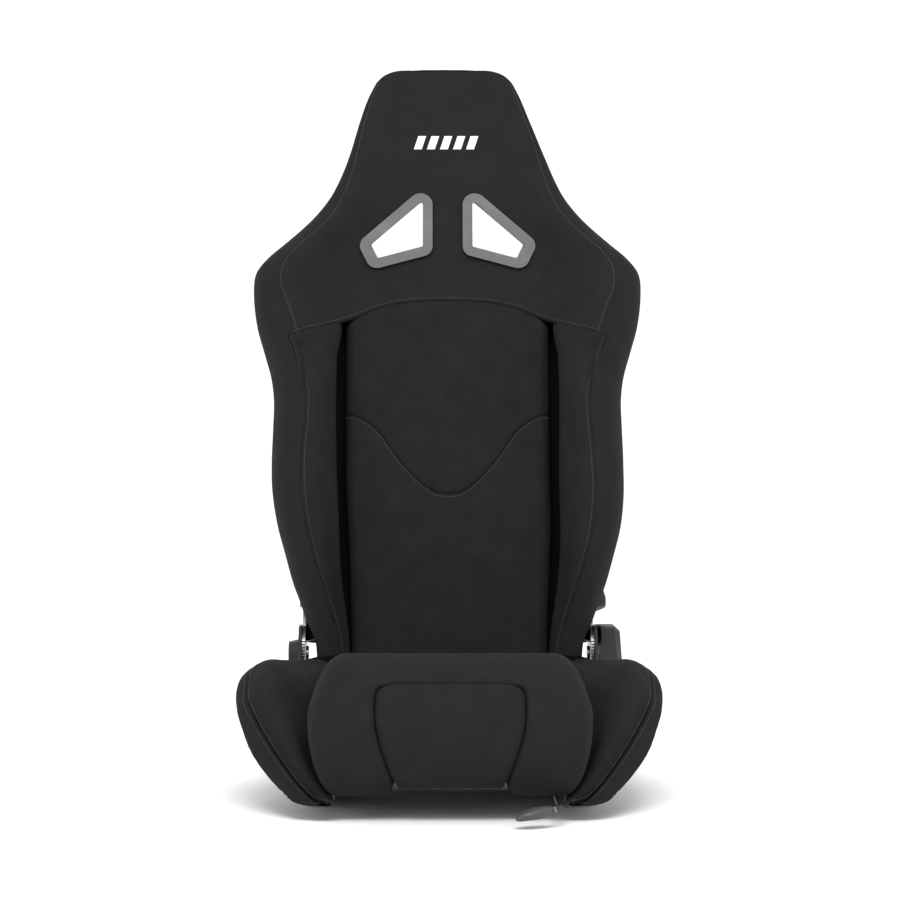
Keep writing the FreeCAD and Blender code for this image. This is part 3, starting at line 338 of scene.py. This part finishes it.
def groove_floor(name, side):
    """Near-black sheet at the bottom of the gap between the insert and a side bolster. It closes the gap, and its
    colour, far darker than the fabric, is painted shade for the deep shadow in the gap.
    """
    sheet_y, under_insert, under_bolster, below_seam = -33, 16, 26, 3
    z = np.linspace(FOOT_Z, SHOULDER_Z - below_seam, 90)[:, None]
    x = look_up(GROOVE, z) + np.linspace(-under_insert, under_bolster, 10)[None]
    grid = np.stack([x, sheet_y + 0 * x, z + 0 * x], axis=-1)
    return panel(name, lean(grid if side > 0 else mirror_x(grid)), seams="", outward=side, skirt=0)


# Outer edge of the left belt slot's bezel, as x and z at SLOT_Y. The right one mirrors it. The slot
# climbs to the rear, and an arc takes the place of the outline's corner above TIP_Z.
SLOT_OUTLINE = np.array(((20, 525), (20, 629.5), (119.5, 540), (101.5, 502.5)), float)
SLOT_Y = -62.0
SLOT_CLIMB = math.tan(math.radians(19))
TIP_CENTRE, TIP_RADIUS, TIP_Z = (34.5, 597.0), 16, 603
UNDER_BEZEL = 5.0         # the fabric runs on this far behind the bezel's edge


def slot_inside(x, y, z, shrink):
    """Whether points lie within a belt slot's outline, moved inwards by shrink."""
    px, pz = np.abs(x), z - (y - SLOT_Y) * SLOT_CLIMB
    inside = np.ones(np.shape(x), bool)
    for a, b in zip(SLOT_OUTLINE, np.roll(SLOT_OUTLINE, -1, axis=0)):
        d = (b - a) / np.linalg.norm(b - a)
        inside &= (px - a[0]) * d[1] - (pz - a[1]) * d[0] > shrink
    from_tip = np.hypot(px - TIP_CENTRE[0], pz - TIP_CENTRE[1])
    return inside & ~((pz > TIP_Z) & (from_tip > TIP_RADIUS - shrink))


def face_mask(p):
    """Which faces of a grid in the backrest frame to keep, so that the belt slots stay open."""
    mid = (p[:-1, :-1] + p[1:, :-1] + p[:-1, 1:] + p[1:, 1:]) / 4
    return ~slot_inside(mid[..., 0], mid[..., 1], mid[..., 2], UNDER_BEZEL)


def yoke_panel():
    """The piece over shoulders and head: a grid filled in between its four borders."""
    cols, rows = 171, 150
    half_width, shoulder_z, head_corner_z = 197.5, 394, 774
    t, v = np.linspace(-1, 1, cols), np.linspace(0, 1, rows)
    bottom_x = t * half_width
    away = np.abs(bottom_x)
    bottom_z = np.where(away < ARCH[-1][0], look_up(ARCH, away), look_up(SHOULDER, away))
    rim = curve(RIM[:, :3], at=np.linspace(0, 1, 600))
    start, corner = np.argmax(rim[:, 2] > shoulder_z), np.argmax(rim[:, 2] > head_corner_z)
    side = curve(rim[np.linspace(start, corner, 60).astype(int)], at=v)
    over_head = curve(np.concatenate([mirror_x(rim[corner::6]), rim[corner:-1:6][::-1]]), at=(t + 1) / 2)
    bottom, top, right = np.stack([bottom_x, bottom_z], axis=-1), over_head[:, ::2], side[:, ::2]
    left = right * (-1, 1)
    s, w = ((t + 1) / 2)[None, :, None], v[:, None, None]
    filled = ((1 - w) * bottom[None] + w * top[None] + (1 - s) * left[:, None] + s * right[:, None]
              - (1 - w) * ((1 - s) * bottom[0] + s * bottom[-1]) - w * ((1 - s) * top[0] + s * top[-1]))
    x, z = filled[..., 0], filled[..., 1]
    local = np.stack([x, front_y(x, z), z], axis=-1)
    return panel("back_yoke_cover", lean(local), seams="lrbt", bulge=1.0,
                 tuck={"l": 1.2, "r": 1.2, "t": 0.5, "b": 1.2}, width=3.0, skirt=6, keep=face_mask(local),
                 into=dict.fromkeys("lrbt", REARWARD))


def side_band():
    """The band round the whole rim, from the rim seam to the rear cover, and the grid it is made on."""
    head_z, head_taper = 600, 0.05        # the padding gets thinner above this height
    halves = rim_half(np.linspace(0, 1, 190))
    seam, widest = (np.concatenate([line, mirror_x(line[:-1][::-1])]) for line in halves)
    tangent = np.gradient(widest[:, [0, 2]], axis=0)
    tangent /= np.linalg.norm(tangent, axis=1, keepdims=True)
    inward = np.stack([-tangent[:, 1], np.zeros(len(seam)), tangent[:, 0]], axis=-1)
    q = np.linspace(0, 1, 44)
    grid = np.zeros((len(seam), len(q), 3))
    for i, (start, side, inside) in enumerate(zip(seam, widest, inward)):
        rear_y = PAD_BACK - max(side[2] - head_z, 0) * head_taper
        step = side - start
        behind = [(side + inside * inset) * (1, 0, 1) + (0, y, 0)
                  for inset, y in ((1.0, side[1] * 0.4), (6.0, rear_y * 0.5), (14.0, rear_y + 1))]
        grid[i] = curve([start, start + step * (0.6, 0.22, 0.6), start + step * (0.92, 0.6, 0.92), side,
                         *behind], at=q)
    piece = panel("back_side_band", lean(grid), seams="lr", bulge=1.6, tuck=1.2, width=3.0, skirt=6,
                  into={"l": REARWARD, "r": tuple(-k for k in REARWARD)})
    return piece, grid


def rear_panel(rim):
    """Fabric over the rear board, between the two halves of the rear rim."""
    crown, crown_width = 2.5, 60
    s = np.linspace(-1, 1, 131)
    rim = curve(rim, count=230)
    x = rim[:, 0][:, None] * s[None]
    y = rim[:, 1][:, None] + crown * (1 - s[None] ** 4) * smoothstep(rim[:, 0] / crown_width)[:, None]
    z = np.repeat(rim[:, 2][:, None], len(s), axis=1)
    local = np.stack([x, y, z], axis=-1)
    return panel("back_rear_fabric", lean(local), seams="lr", outward=-1, bulge=0.8, tuck=3.0, width=3.5,
                 skirt=8, keep=face_mask(local))


# Depth of the flap's front edge, against distance from the middle.
FLAP_FRONT = ((0, -61), (129, -59), (138, -66), (146, -75), (160, -70), (181, -44))


def bottom_flap():
    """Fabric pulled under the backrest's lower edge."""
    half_width, edge_z, sag = 180, -13, 6
    x = np.linspace(-half_width, half_width, 91)
    v = np.linspace(0, 1, 24)[:, None]
    y = look_up(FLAP_FRONT, np.abs(x))[None] * (1 - v) + (PAD_BACK - 1) * v
    z = edge_z - sag * np.sin(math.pi * np.clip(v, 0.02, 0.98)) ** 0.6 + 0 * x[None]
    grid = np.stack([x[None] + 0 * v, y, z], axis=-1)
    return panel("back_bottom_flap", lean(grid), seams="", outward=-1, skirt=0)


# ---- base surfaces ------------------------------------------------------------------------------
# Side profile of the centre cushion, from its rear edge over the top and down the roll. Each row:
# y, z, half width, and the width and depth of the rounding at its sides.
CUSHION = np.array((
    (116, 128, 124, 14, 18), (114, 141, 125, 14, 20), (104, 147.5, 130, 16, 22), (60, 147.5, 148, 20, 24),
    (20, 147, 150, 22, 28), (-60, 152, 150, 22, 32), (-150, 168, 149, 26, 38), (-205, 179.5, 149, 31, 43),
    (-238, 182.5, 150, 33, 46), (-266, 176, 152, 32, 46), (-287, 155, 156, 26, 46),
    (-299, 125, 160.5, 18, 46), (-302, 96, 159.5, 14, 46), (-299, 66, 156, 14, 44),
    (-291, 45, 151.5, 16, 40), (-280, 33, 147, 18, 34), (-266, 28.5, 142, 18, 30),
    (-246, 28.5, 138, 16, 24), (-212, 33, 136, 14, 20),
), float)
PROFILE = curve(CUSHION[:, :2], count=320)
PROFILE_L = arc_lengths(PROFILE)
STATIONS = np.array([PROFILE_L[np.argmin(np.hypot(*(PROFILE - row[:2]).T))] for row in CUSHION])
CROWN = int(np.argmax(PROFILE[:, 1]))
# Half width of the front panel against height, down the front of the roll.
FRONT_PANEL = ((30, 65.5), (47.5, 66.5), (53.5, 68.5), (64, 72), (83, 78), (103, 83), (116, 84.6),
               (131, 85), (146, 83.5), (151, 80), (153.3, 74), (154, 64))
UNDERSIDE_HALF, UNDERSIDE_Z = 149.0, 66.0


def front_length(z):
    """Length along the profile at which the front of the roll comes down to a height."""
    front = slice(CROWN, CROWN + 150)
    return float(np.interp(-z, -PROFILE[front, 1], PROFILE_L[front]))


FRONT_TOP_L = front_length(154.0)
LIP_L = front_length(38.0)


def cushion_point(length, x):
    """Point and normal of the cushion at a length along its profile and a distance across."""
    y, z = (np.interp(length, PROFILE_L, PROFILE[:, k]) for k in (0, 1))
    half, wide, drop = (pchip(STATIONS, CUSHION[:, k], length) for k in (2, 3, 4))
    ty, tz = (np.interp(length + 2, PROFILE_L, along) - np.interp(length - 2, PROFILE_L, along)
              for along in PROFILE.T)
    size = np.hypot(ty, tz)
    ny, nz = tz / size, -ty / size
    over = np.clip((np.abs(x) - (half - wide)) / wide, 0, 1)
    d = drop * (1 - np.sqrt(np.clip(1 - over ** 2, 0, 1)))
    return np.stack([x + 0 * y, y - ny * d, z - nz * d], axis=-1), np.stack([0 * ny, ny, nz], axis=-1)


def front_half(length):
    """Half width of the front panel at a length along the profile."""
    z = np.interp(length, PROFILE_L, PROFILE[:, 1])
    return np.where(length > LIP_L, FRONT_PANEL[0][1], look_up(FRONT_PANEL, z))


def cushion_cover():
    """The cushion's top and roll, sunk where the front panel lies and puffed up around it."""
    sink, sink_run, sink_edge = 13.0, 4.0, 0.8
    seam_dip, seam_dip_at_top, dip_run, puff_height, puff_run = 2.6, 1.4, 4.5, 1.6, 16.0
    flat = np.linspace(-1, 1, 121)
    turn = np.sin(np.linspace(0, math.pi / 2, 26))[1:]
    length = PROFILE_L[:, None]
    half, wide = (pchip(STATIONS, CUSHION[:, k], length) for k in (2, 3))
    level = half - wide
    x = np.concatenate([-level - wide * turn[::-1], flat * level, level + wide * turn], axis=1)
    length = length + 0 * x
    p, n = cushion_point(length, x)
    beside, below = np.abs(x) - front_half(length), FRONT_TOP_L - length
    outside = np.where((beside > 0) & (below > 0), np.hypot(beside, below), np.maximum(beside, below))
    away = np.maximum(outside, 0)
    at_top = smoothstep((below + 6) / 8.0) * (np.abs(x) < 60)
    dip = seam_dip + (seam_dip_at_top - seam_dip) * at_top
    well = (sink * smoothstep((sink_edge - outside) / sink_run)
            + dip * np.exp(-(away / dip_run) ** FOLD_POWER))
    puff = puff_height * (1 - np.exp(-away / puff_run)) * (outside > 0)
    p = p + n * (puff - well)[..., None]
    return panel("seat_cushion_cover", settle(p), seams="lr", outward=-1, tuck=0.0, skirt=24,
                 into={"l": (1, 0, 0), "r": (-1, 0, 0)})


def front_panel():
    """The panel let into the front of the roll. Its lower edge turns in under the lip."""
    past_lip, lip_run, proud, turn_in, corner_lift = 11.0, 27.0, 1.2, 5.5, 4.0
    s = np.linspace(-1, 1, 91)
    v = np.linspace(0, 1, 110)[:, None]
    length = FRONT_TOP_L + 0.6 + (LIP_L + past_lip - FRONT_TOP_L) * v + 0 * s[None]
    lip = smoothstep((length - (LIP_L + past_lip - lip_run)) / lip_run)
    p, n = cushion_point(length, s[None] * (front_half(length) - 1.3))
    p = p + n * (proud - turn_in * lip)[..., None]
    p[..., 2] += corner_lift * smoothstep((np.abs(s[None]) - 0.86) / 0.14) * lip
    return panel("seat_front_panel_cover", settle(p), seams="lrt", outward=-1, bulge=2.6,
                 tuck={"l": 5.5, "r": 5.5, "t": 4.2}, width=3.6, skirt=12)


def cushion_base():
    """Underside of the cushion, on the springs."""
    y = np.linspace(-214, 117, 60)[:, None]
    x = np.linspace(-UNDERSIDE_HALF, UNDERSIDE_HALF, 60)[None]
    z = UNDERSIDE_Z + 1.2 * np.sin(y / 9) * np.sin(x / 9)
    grid = np.stack([x + 0 * y, y + 0 * x, z], axis=-1)
    return panel("seat_cushion_underside", settle(grid), seams="", skirt=0)


def cushion_side(name, side):
    """Fabric that closes the cushion's side, between the cover's edge and the underside."""
    front, top_z, rear_y, puff = int(np.argmin(PROFILE[:, 0])), 147, 100, 2.5
    edge, _ = cushion_point(PROFILE_L, pchip(STATIONS, CUSHION[:, 2], PROFILE_L))
    top, lip = edge[np.argmax(PROFILE[:, 1] > top_z):front][::-1], edge[front:]
    flat = [(UNDERSIDE_HALF, flat_y, UNDERSIDE_Z) for flat_y in (-200, 120)]
    low = np.concatenate([lip[np.argsort(lip[:, 1])], flat])
    y = np.linspace(rear_y, max(top[0, 1], low[0, 1]) + 1, 90)[:, None]
    v = np.linspace(0, 1, 20)[None]
    above, below = ([np.interp(y, path[:, 1], path[:, k]) for k in (0, 2)] for path in (top, low))
    x = above[0] * (1 - v) + below[0] * v + puff * np.sin(math.pi * v) - 0.6
    z = (above[1] + 1) * (1 - v) + (below[1] - 1) * v
    grid = settle(np.stack([x, y + 0 * v, z], axis=-1))
    return panel(name, grid if side > 0 else mirror_x(grid), seams="", outward=-side, skirt=0)


# Sections of a side bolster, from the rear to the front tip. Each row: y, then x, z of the inner
# root, inner face, its middle, crest, seam, side, lower edge and underside.
WING = np.array((
    (103, 146, 114, 149, 140, 157, 146, 166, 149.5, 176, 148, 183, 138, 180, 76, 150, 67),
    (50, 146, 110, 150, 140, 166, 147, 184, 153, 197, 150, 206, 134, 190, 72, 150, 66),
    (-10, 147, 104, 152, 138, 176, 149, 201, 157.5, 215, 155, 227, 128, 196, 70, 150, 65),
    (-70, 148, 98, 155, 134, 186, 152, 213, 163, 230, 158, 243, 120, 200, 68, 150, 64),
    (-110, 149, 92, 158, 131, 188, 151, 215, 164, 237, 153, 249, 115, 203, 66, 150, 64),
    (-140, 150, 84, 161, 119, 189, 145, 214, 157, 237.5, 128, 247, 108, 204, 65, 150, 63),
    (-170, 150, 74, 163, 103, 189, 133, 208, 141, 224, 101, 239.5, 93, 202, 61, 150, 62),
    (-200, 149, 60, 163, 82, 184, 109, 198, 114, 207, 78, 228, 72, 194, 48, 148, 54),
    (-228, 145, 44, 159, 59, 174, 80, 184, 82, 187, 54, 210, 51, 180, 31, 144, 32),
    (-254, 138, 29, 148, 41, 158, 51, 165, 52, 166, 33, 189, 31.5, 170, 28, 138, 28),
    (-270, 131, 22, 138, 30, 145, 35, 149, 35, 149, 21, 174, 22, 160, 18, 134, 20),
    (-283, 127, 21, 129, 22, 132, 23, 135, 23, 137, 20, 148, 20.5, 145, 19.5, 129, 20),
), float)


def wing(name, side):
    """Face and side panel of a seat bolster, which meet at its seam."""
    rows = 170
    face, band = np.zeros((rows, 52, 3)), np.zeros((rows, 40, 3))
    for i, y in enumerate(np.linspace(WING[0, 0], WING[-1, 0], rows)):
        control = np.array([pchip(-WING[:, 0], column, -y) for column in WING[:, 1:].T]).reshape(-1, 2)
        seam, outer = control[4], control[5]
        round_off = (seam + outer) / 2 + max(seam[1] - outer[1], 0) * np.array((0.11, 0.2))
        for grid, section in ((face, control[:5]), (band, (seam, round_off, *control[5:]))):
            grid[i, :, ::2] = curve(section, count=grid.shape[1])
            grid[i, :, 1] = y
    pieces = []
    for grid, label, border, bulge in ((face, "face", "r", 2.4), (band, "side", "l", 1.6)):
        grid = settle(grid if side > 0 else mirror_x(grid))
        pieces.append(panel(f"seat_bolster_{label}_{name}", grid, seams=border, outward=-side, bulge=bulge,
                            tuck=1.4, width=3.2, skirt=4, into={border: (-0.7 * side, 0.5, -0.5)}))
    return pieces


# ---- stitches and mark --------------------------------------------------------------------------
def at_length(where, lengths, values):
    """The vector at a length along a line of vectors."""
    return np.array([np.interp(where, lengths, values[:, k]) for k in range(3)])


def offset_line(name, side, distance):
    """Points and normals on a panel, at that distance from one of its borders."""
    p, n, gaps = SEWN[name]
    gap = gaps[side]
    if side in "bt":
        p, n, gap = p.transpose(1, 0, 2), n.transpose(1, 0, 2), gap.T
    if side in "rt":
        p, n, gap = p[:, ::-1], n[:, ::-1], gap[:, ::-1]
    rows = range(len(gap))
    return tuple(np.array([at_length(distance, gap[i], grid[i]) for i in rows]) for grid in (p, n))


def stitches(name, lines, body, pitch=4.4, length=3.3, radius=0.42):
    """Short threads laid along lines, as one piece."""
    sides, end_sink, lift = 6, 0.22, 0.35
    # Each ring of a thread: its place along the length, and its share of the full thickness.
    rings = ((-0.5, 0.35), (-0.32, 0.95), (0.0, 1.0), (0.32, 0.95), (0.5, 0.35))
    verts, faces = [], []
    for points, normals in lines:
        along = arc_lengths(points)
        for k in range(int(along[-1] / pitch)):
            at = (k + 0.5) * pitch
            centre, normal = at_length(at, along, points), at_length(at, along, normals)
            forward = at_length(at + 0.8, along, points) - centre
            if np.linalg.norm(forward) < 1e-6:
                continue
            forward /= np.linalg.norm(forward)
            normal -= forward * normal.dot(forward)
            normal /= max(np.linalg.norm(normal), 1e-9)
            sideways = np.cross(forward, normal)
            start = len(verts)
            for where, thick in rings:
                sink = end_sink if abs(where) > 0.4 else 0.0
                middle = centre + forward * where * length + normal * (radius * lift - sink)
                for c in range(sides):
                    a = c * 2 * math.pi / sides
                    verts.append(middle + (sideways * math.cos(a) + normal * math.sin(a)) * radius * thick)
            for ring in range(len(rings) - 1):
                for c in range(sides):
                    a, b = start + ring * sides + c, start + ring * sides + (c + 1) % sides
                    faces.append((a, b, b + sides, a + sides))
            faces.append(tuple(start + c for c in reversed(range(sides))))
            faces.append(tuple(len(verts) - sides + c for c in range(sides)))
    piece = mesh_object(name, verts, faces)
    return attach(piece, body)


def emblem():
    """A plain row of slanted bars in raised white thread, on the front of the head."""
    bars, pitch, width, slant, height, middle_z, raised = 5, 17.5, 10.5, 7.0, 19.0, 682, 1.1
    verts, faces = [], []
    rows, cols = 15, 9
    for bar in range(bars):
        start = len(verts)
        for i in range(rows):
            for j in range(cols):
                v, u = i / (rows - 1) - 0.5, j / (cols - 1) - 0.5
                x = (bar - (bars - 1) / 2) * pitch + u * width + v * slant
                z = middle_z + v * height
                edge = min(1 - abs(2 * u) ** 6, 1 - abs(2 * v) ** 8)
                y = float(front_y(x, z)) - 1.0 - raised * max(edge, 0) ** 0.5
                verts.append(lean((x, y, z)))
        faces += [tuple(start + k for k in f) for f in grid_faces(rows, cols, flip=True)]
    piece = mesh_object("head_mark", verts, faces)
    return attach(piece, "backrest")


# ---- materials ----------------------------------------------------------------------------------
def material(name, base, rough, metallic=0.0, **sockets):
    """A Principled material with its node tree and shader, and a helper that adds nodes to it."""
    mat = bpy.data.materials.new(name)
    mat.use_nodes = True
    tree = mat.node_tree
    shader = tree.nodes["Principled BSDF"]
    shader.inputs["Base Color"].default_value = (*base, 1)
    shader.inputs["Roughness"].default_value = rough
    shader.inputs["Metallic"].default_value = metallic
    for key, value in sockets.items():
        shader.inputs[key.replace("_", " ")].default_value = value

    def add(kind, links=(), **values):
        node = tree.nodes.new("ShaderNode" + kind)
        for key, value in values.items():
            if key.startswith("in_"):
                node.inputs[key[3:].replace("_", " ")].default_value = value
            else:
                setattr(node, key, value)
        for source, target in links:
            tree.links.new(source, node.inputs[target])
        return node

    return mat, tree, shader, add


def two_tones(add, source, low, high, dark, light):
    """A ramp from dark to light as an output goes from low to high."""
    ramp = add("ValToRGB", [(source, "Fac")])
    first, last = ramp.color_ramp.elements
    first.position, last.position = low, high
    first.color, last.color = (*dark, 1), (*light, 1)
    return ramp.outputs[0]


def fabric(name, dark, light, weave=0.0014, depth=0.35, rough=0.9, sheen=0.0):
    """Woven fabric: warp and weft along the panel's own directions, fibre noise and slow variation."""
    mat, tree, shader, add = material(name, dark, rough, Sheen_Weight=sheen, Sheen_Roughness=0.45,
                                      Specular_IOR_Level=0.12)
    where = add("TexCoord")
    uv, solid = where.outputs["UV"], where.outputs["Object"]
    scale = 2 * math.pi / (20 * weave)
    warp, weft = (add("TexWave", [(uv, "Vector")], bands_direction=way, in_Scale=scale, in_Distortion=0.6,
                      in_Detail=1.0, in_Detail_Scale=2.0) for way in "XY")
    cross = add("Math", [(warp.outputs["Fac"], 0), (weft.outputs["Fac"], 1)], operation="MULTIPLY")
    fibre = add("TexNoise", [(solid, "Vector")], in_Scale=620.0, in_Detail=4.0, in_Roughness=0.65)
    mottle = add("TexNoise", [(solid, "Vector")], in_Scale=34.0, in_Detail=3.0, in_Roughness=0.55)
    height = add("MixRGB", [(cross.outputs[0], "Color1"), (fibre.outputs["Fac"], "Color2")], in_Fac=0.45)
    tone = add("MixRGB", [(height.outputs[0], "Color1"), (mottle.outputs["Fac"], "Color2")], in_Fac=0.35)
    bump = add("Bump", [(height.outputs[0], "Height")], in_Strength=depth, in_Distance=0.0006)
    tree.links.new(two_tones(add, tone.outputs[0], 0.22, 0.72, dark, light), shader.inputs["Base Color"])
    tree.links.new(bump.outputs[0], shader.inputs["Normal"])
    return mat


def grained(name, dark, light, rough, scale, depth, metallic=0.0, **sockets):
    """Moulded, coated or plated surface: fine grain, and slow changes of colour and roughness."""
    mat, tree, shader, add = material(name, dark, rough, metallic, **sockets)
    solid = add("TexCoord").outputs["Object"]
    grain = add("TexVoronoi", [(solid, "Vector")], in_Scale=scale)
    cloud = add("TexNoise", [(solid, "Vector")], in_Scale=28.0, in_Detail=5.0, in_Roughness=0.6)
    fine = add("TexNoise", [(solid, "Vector")], in_Scale=scale * 0.6, in_Detail=2.0)
    height = add("MixRGB", [(grain.outputs["Distance"], "Color1"), (fine.outputs["Fac"], "Color2")],
                 in_Fac=0.5)
    spread = add("MapRange", [(cloud.outputs["Fac"], "Value")], in_From_Min=0.3, in_From_Max=0.7,
                 in_To_Min=rough - 0.06, in_To_Max=rough + 0.08)
    bump = add("Bump", [(height.outputs[0], "Height")], in_Strength=depth, in_Distance=0.0003)
    tree.links.new(two_tones(add, cloud.outputs["Fac"], 0.3, 0.7, dark, light), shader.inputs["Base Color"])
    tree.links.new(spread.outputs[0], shader.inputs["Roughness"])
    tree.links.new(bump.outputs[0], shader.inputs["Normal"])
    return mat


def grey(value, warm=0.0):
    return (value * (1 + warm), value, value * (1 + warm * 0.6))


MAIN = fabric("black_fabric", grey(0.009), grey(0.018))
INSERT = fabric("black_mesh_fabric", grey(0.007), grey(0.018), weave=0.0017, depth=0.4)
WING_FABRIC = fabric("black_bolster_fabric", grey(0.008, 0.16), grey(0.015, 0.16))
REAR = fabric("black_rear_fabric", grey(0.008), grey(0.016), weave=0.0012)
# Painted shade: the gap sheet's near-black colour, far darker than any fabric, stands in for the deep shadow in
# the grooves beside the insert.
GAP_SHADE_SHEET = fabric("painted_gap_shade", grey(0.0015), grey(0.003), weave=0.0012)
THREAD = fabric("black_thread", grey(0.045), grey(0.08), weave=0.0005, sheen=0.1)
WHITE_THREAD = grained("white_thread", grey(0.72), grey(0.86), 0.6, 900.0, 0.6)
PLASTIC = grained("grained_plastic", grey(0.040), grey(0.055), 0.46, 1500.0, 0.35)
DARK_PLASTIC = grained("dark_plastic", grey(0.009), grey(0.014), 0.55, 1500.0, 0.3, Specular_IOR_Level=0.35)
COATED = grained("black_coated_steel", grey(0.012), grey(0.020), 0.38, 700.0, 0.15)
ZINC = grained("zinc_plated_steel", grey(0.20), grey(0.32), 0.32, 500.0, 0.08, metallic=1.0)
WIRE = grained("oiled_wire", grey(0.10), grey(0.16), 0.36, 600.0, 0.08, metallic=1.0)
BY_SLOT = {"upholstery_fabric": MAIN, "upholstery_insert": INSERT, "rear_cover": REAR,
           "moulded_plastic": PLASTIC, "black_steel": COATED, "zinc_steel": ZINC, "spring_steel": WIRE}


def paint(obj, mat):
    obj.data.materials.clear()
    obj.data.materials.append(mat)


# Of the moulded nodes only the slot bezels and the slider's grip are of the lighter plastic.
for part in frame["record"]["subparts"]:
    node, slot_name = part["node"], part["material_slot"]
    dark_moulding = slot_name == "moulded_plastic" and not any(k in node for k in ("bezel", "slider"))
    paint(frame["nodes"][node], DARK_PLASTIC if dark_moulding else BY_SLOT[slot_name])


# ---- pieces -------------------------------------------------------------------------------------
def soft(piece, body, mat, replaced=()):
    """Paint a padded piece, put it on its body, and hide the nodes that it replaces."""
    paint(piece, mat)
    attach(piece, body)
    if replaced:
        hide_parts(*replaced)


band, band_grid = side_band()
rear_rim = band_grid[:len(band_grid) // 2 + 1, -1]
foot, vee, arch = (lambda s: np.full_like(s, FOOT_Z)), height_at(VEE, VEE_HALF), height_at(ARCH, ARCH_HALF)
soft(insert_panel("back_insert_low", foot, vee, 80, "lrt"), "backrest", INSERT,
     ["back_insert_lower"])
soft(insert_panel("back_insert_high", vee, arch, 64, "lrbt"), "backrest", INSERT,
     ["back_insert_upper"])
for side, side_name in ((1, "left"), (-1, "right")):
    soft(inner_bolster(f"back_bolster_cover_{side_name}", side), "backrest", MAIN,
         [f"back_bolster_{side_name}"])
    # The gap sheet is painted near-black as shade for the deep shadow in the groove.
    soft(groove_floor(f"back_gap_painted_shade_{side_name}", side), "backrest", GAP_SHADE_SHEET)
    soft(cushion_side(f"seat_cushion_side_{side_name}", side), "seat_base", MAIN)
    face, outer = wing(side_name, side)
    soft(face, "seat_base", WING_FABRIC, [f"seat_bolster_{side_name}"])
    soft(outer, "seat_base", MAIN)
soft(yoke_panel(), "backrest", MAIN,
     ["back_head_pad", "back_shoulder_pad_left", "back_shoulder_pad_right"])
soft(band, "backrest", MAIN)
soft(rear_panel(rear_rim), "backrest", REAR, ["back_rear_cover"])
soft(bottom_flap(), "backrest", REAR)
soft(cushion_cover(), "seat_base", MAIN, ["seat_cushion"])
soft(front_panel(), "seat_base", MAIN, ["seat_front_panel"])
soft(cushion_base(), "seat_base", REAR)

back_lines = [offset_line("back_yoke_cover", "b", 4.5), offset_line("back_insert_low", "t", 4.0)]
back_lines += [offset_line("back_yoke_cover", border, 5.5) for border in "lr"]
back_lines += [offset_line(f"back_bolster_cover_{side_name}", "r", 5.5) for side_name in ("left", "right")]
paint(stitches("back_stitches", back_lines, "backrest"), THREAD)
seat_lines = []
for side_name in ("left", "right"):
    seat_lines += [offset_line(f"seat_bolster_face_{side_name}", "r", 4.5),
                   offset_line(f"seat_bolster_side_{side_name}", "l", 4.5)]
paint(stitches("seat_stitches", seat_lines, "seat_base"), THREAD)
paint(emblem(), WHITE_THREAD)


# ---- floor, light and camera --------------------------------------------------------------------
def studio_floor():
    """A plain pale floor."""
    half_side, points = 6000, 13
    side = np.linspace(-half_side, half_side, points)
    x, y = np.meshgrid(side, side)
    verts = np.stack([x, y, 0 * x], axis=-1).reshape(-1, 3)
    floor = mesh_object("studio_floor", verts, grid_faces(points, points))
    paint(floor, grained("pale_floor", grey(0.90), grey(0.92), 0.9, 60.0, 0.02))


def area_light(name, where, target, size, power):
    lamp = link(bpy.data.objects.new(name, bpy.data.lights.new(name, "AREA")))
    lamp.data.shape = "RECTANGLE"
    lamp.data.size, lamp.data.size_y = size
    lamp.data.energy = power
    lamp.location = where
    lamp.rotation_euler = (Vector(target) - Vector(where)).to_track_quat("-Z", "Y").to_euler()


studio_floor()
area_light("top_softbox", (0, -1.9, 2.2), target=(0, 0.1, 0.6), size=(1.6, 1.0), power=50)
area_light("rear_softbox", (0, 2.2, 2.4), target=(0, 0.1, 0.5), size=(1.8, 1.2), power=20)

# The photograph is taken from straight ahead, from a little below half the seat's height.
camera = link(bpy.data.objects.new("camera", bpy.data.cameras.new("camera")))
camera.data.lens, camera.data.sensor_width = 101.6, 36.0
camera.location = (-0.0187, -3.1675, 0.415)
camera.rotation_euler = (math.pi / 2, 0, -0.0063)
bpy.context.scene.camera = camera

world = bpy.data.worlds.new("studio")
bpy.context.scene.world = world
world.use_nodes = True
world.node_tree.nodes["Background"].inputs["Color"].default_value = (1, 1, 1, 1)
world.node_tree.nodes["Background"].inputs["Strength"].default_value = 1.12
bpy.context.scene.view_settings.view_transform = "Standard"
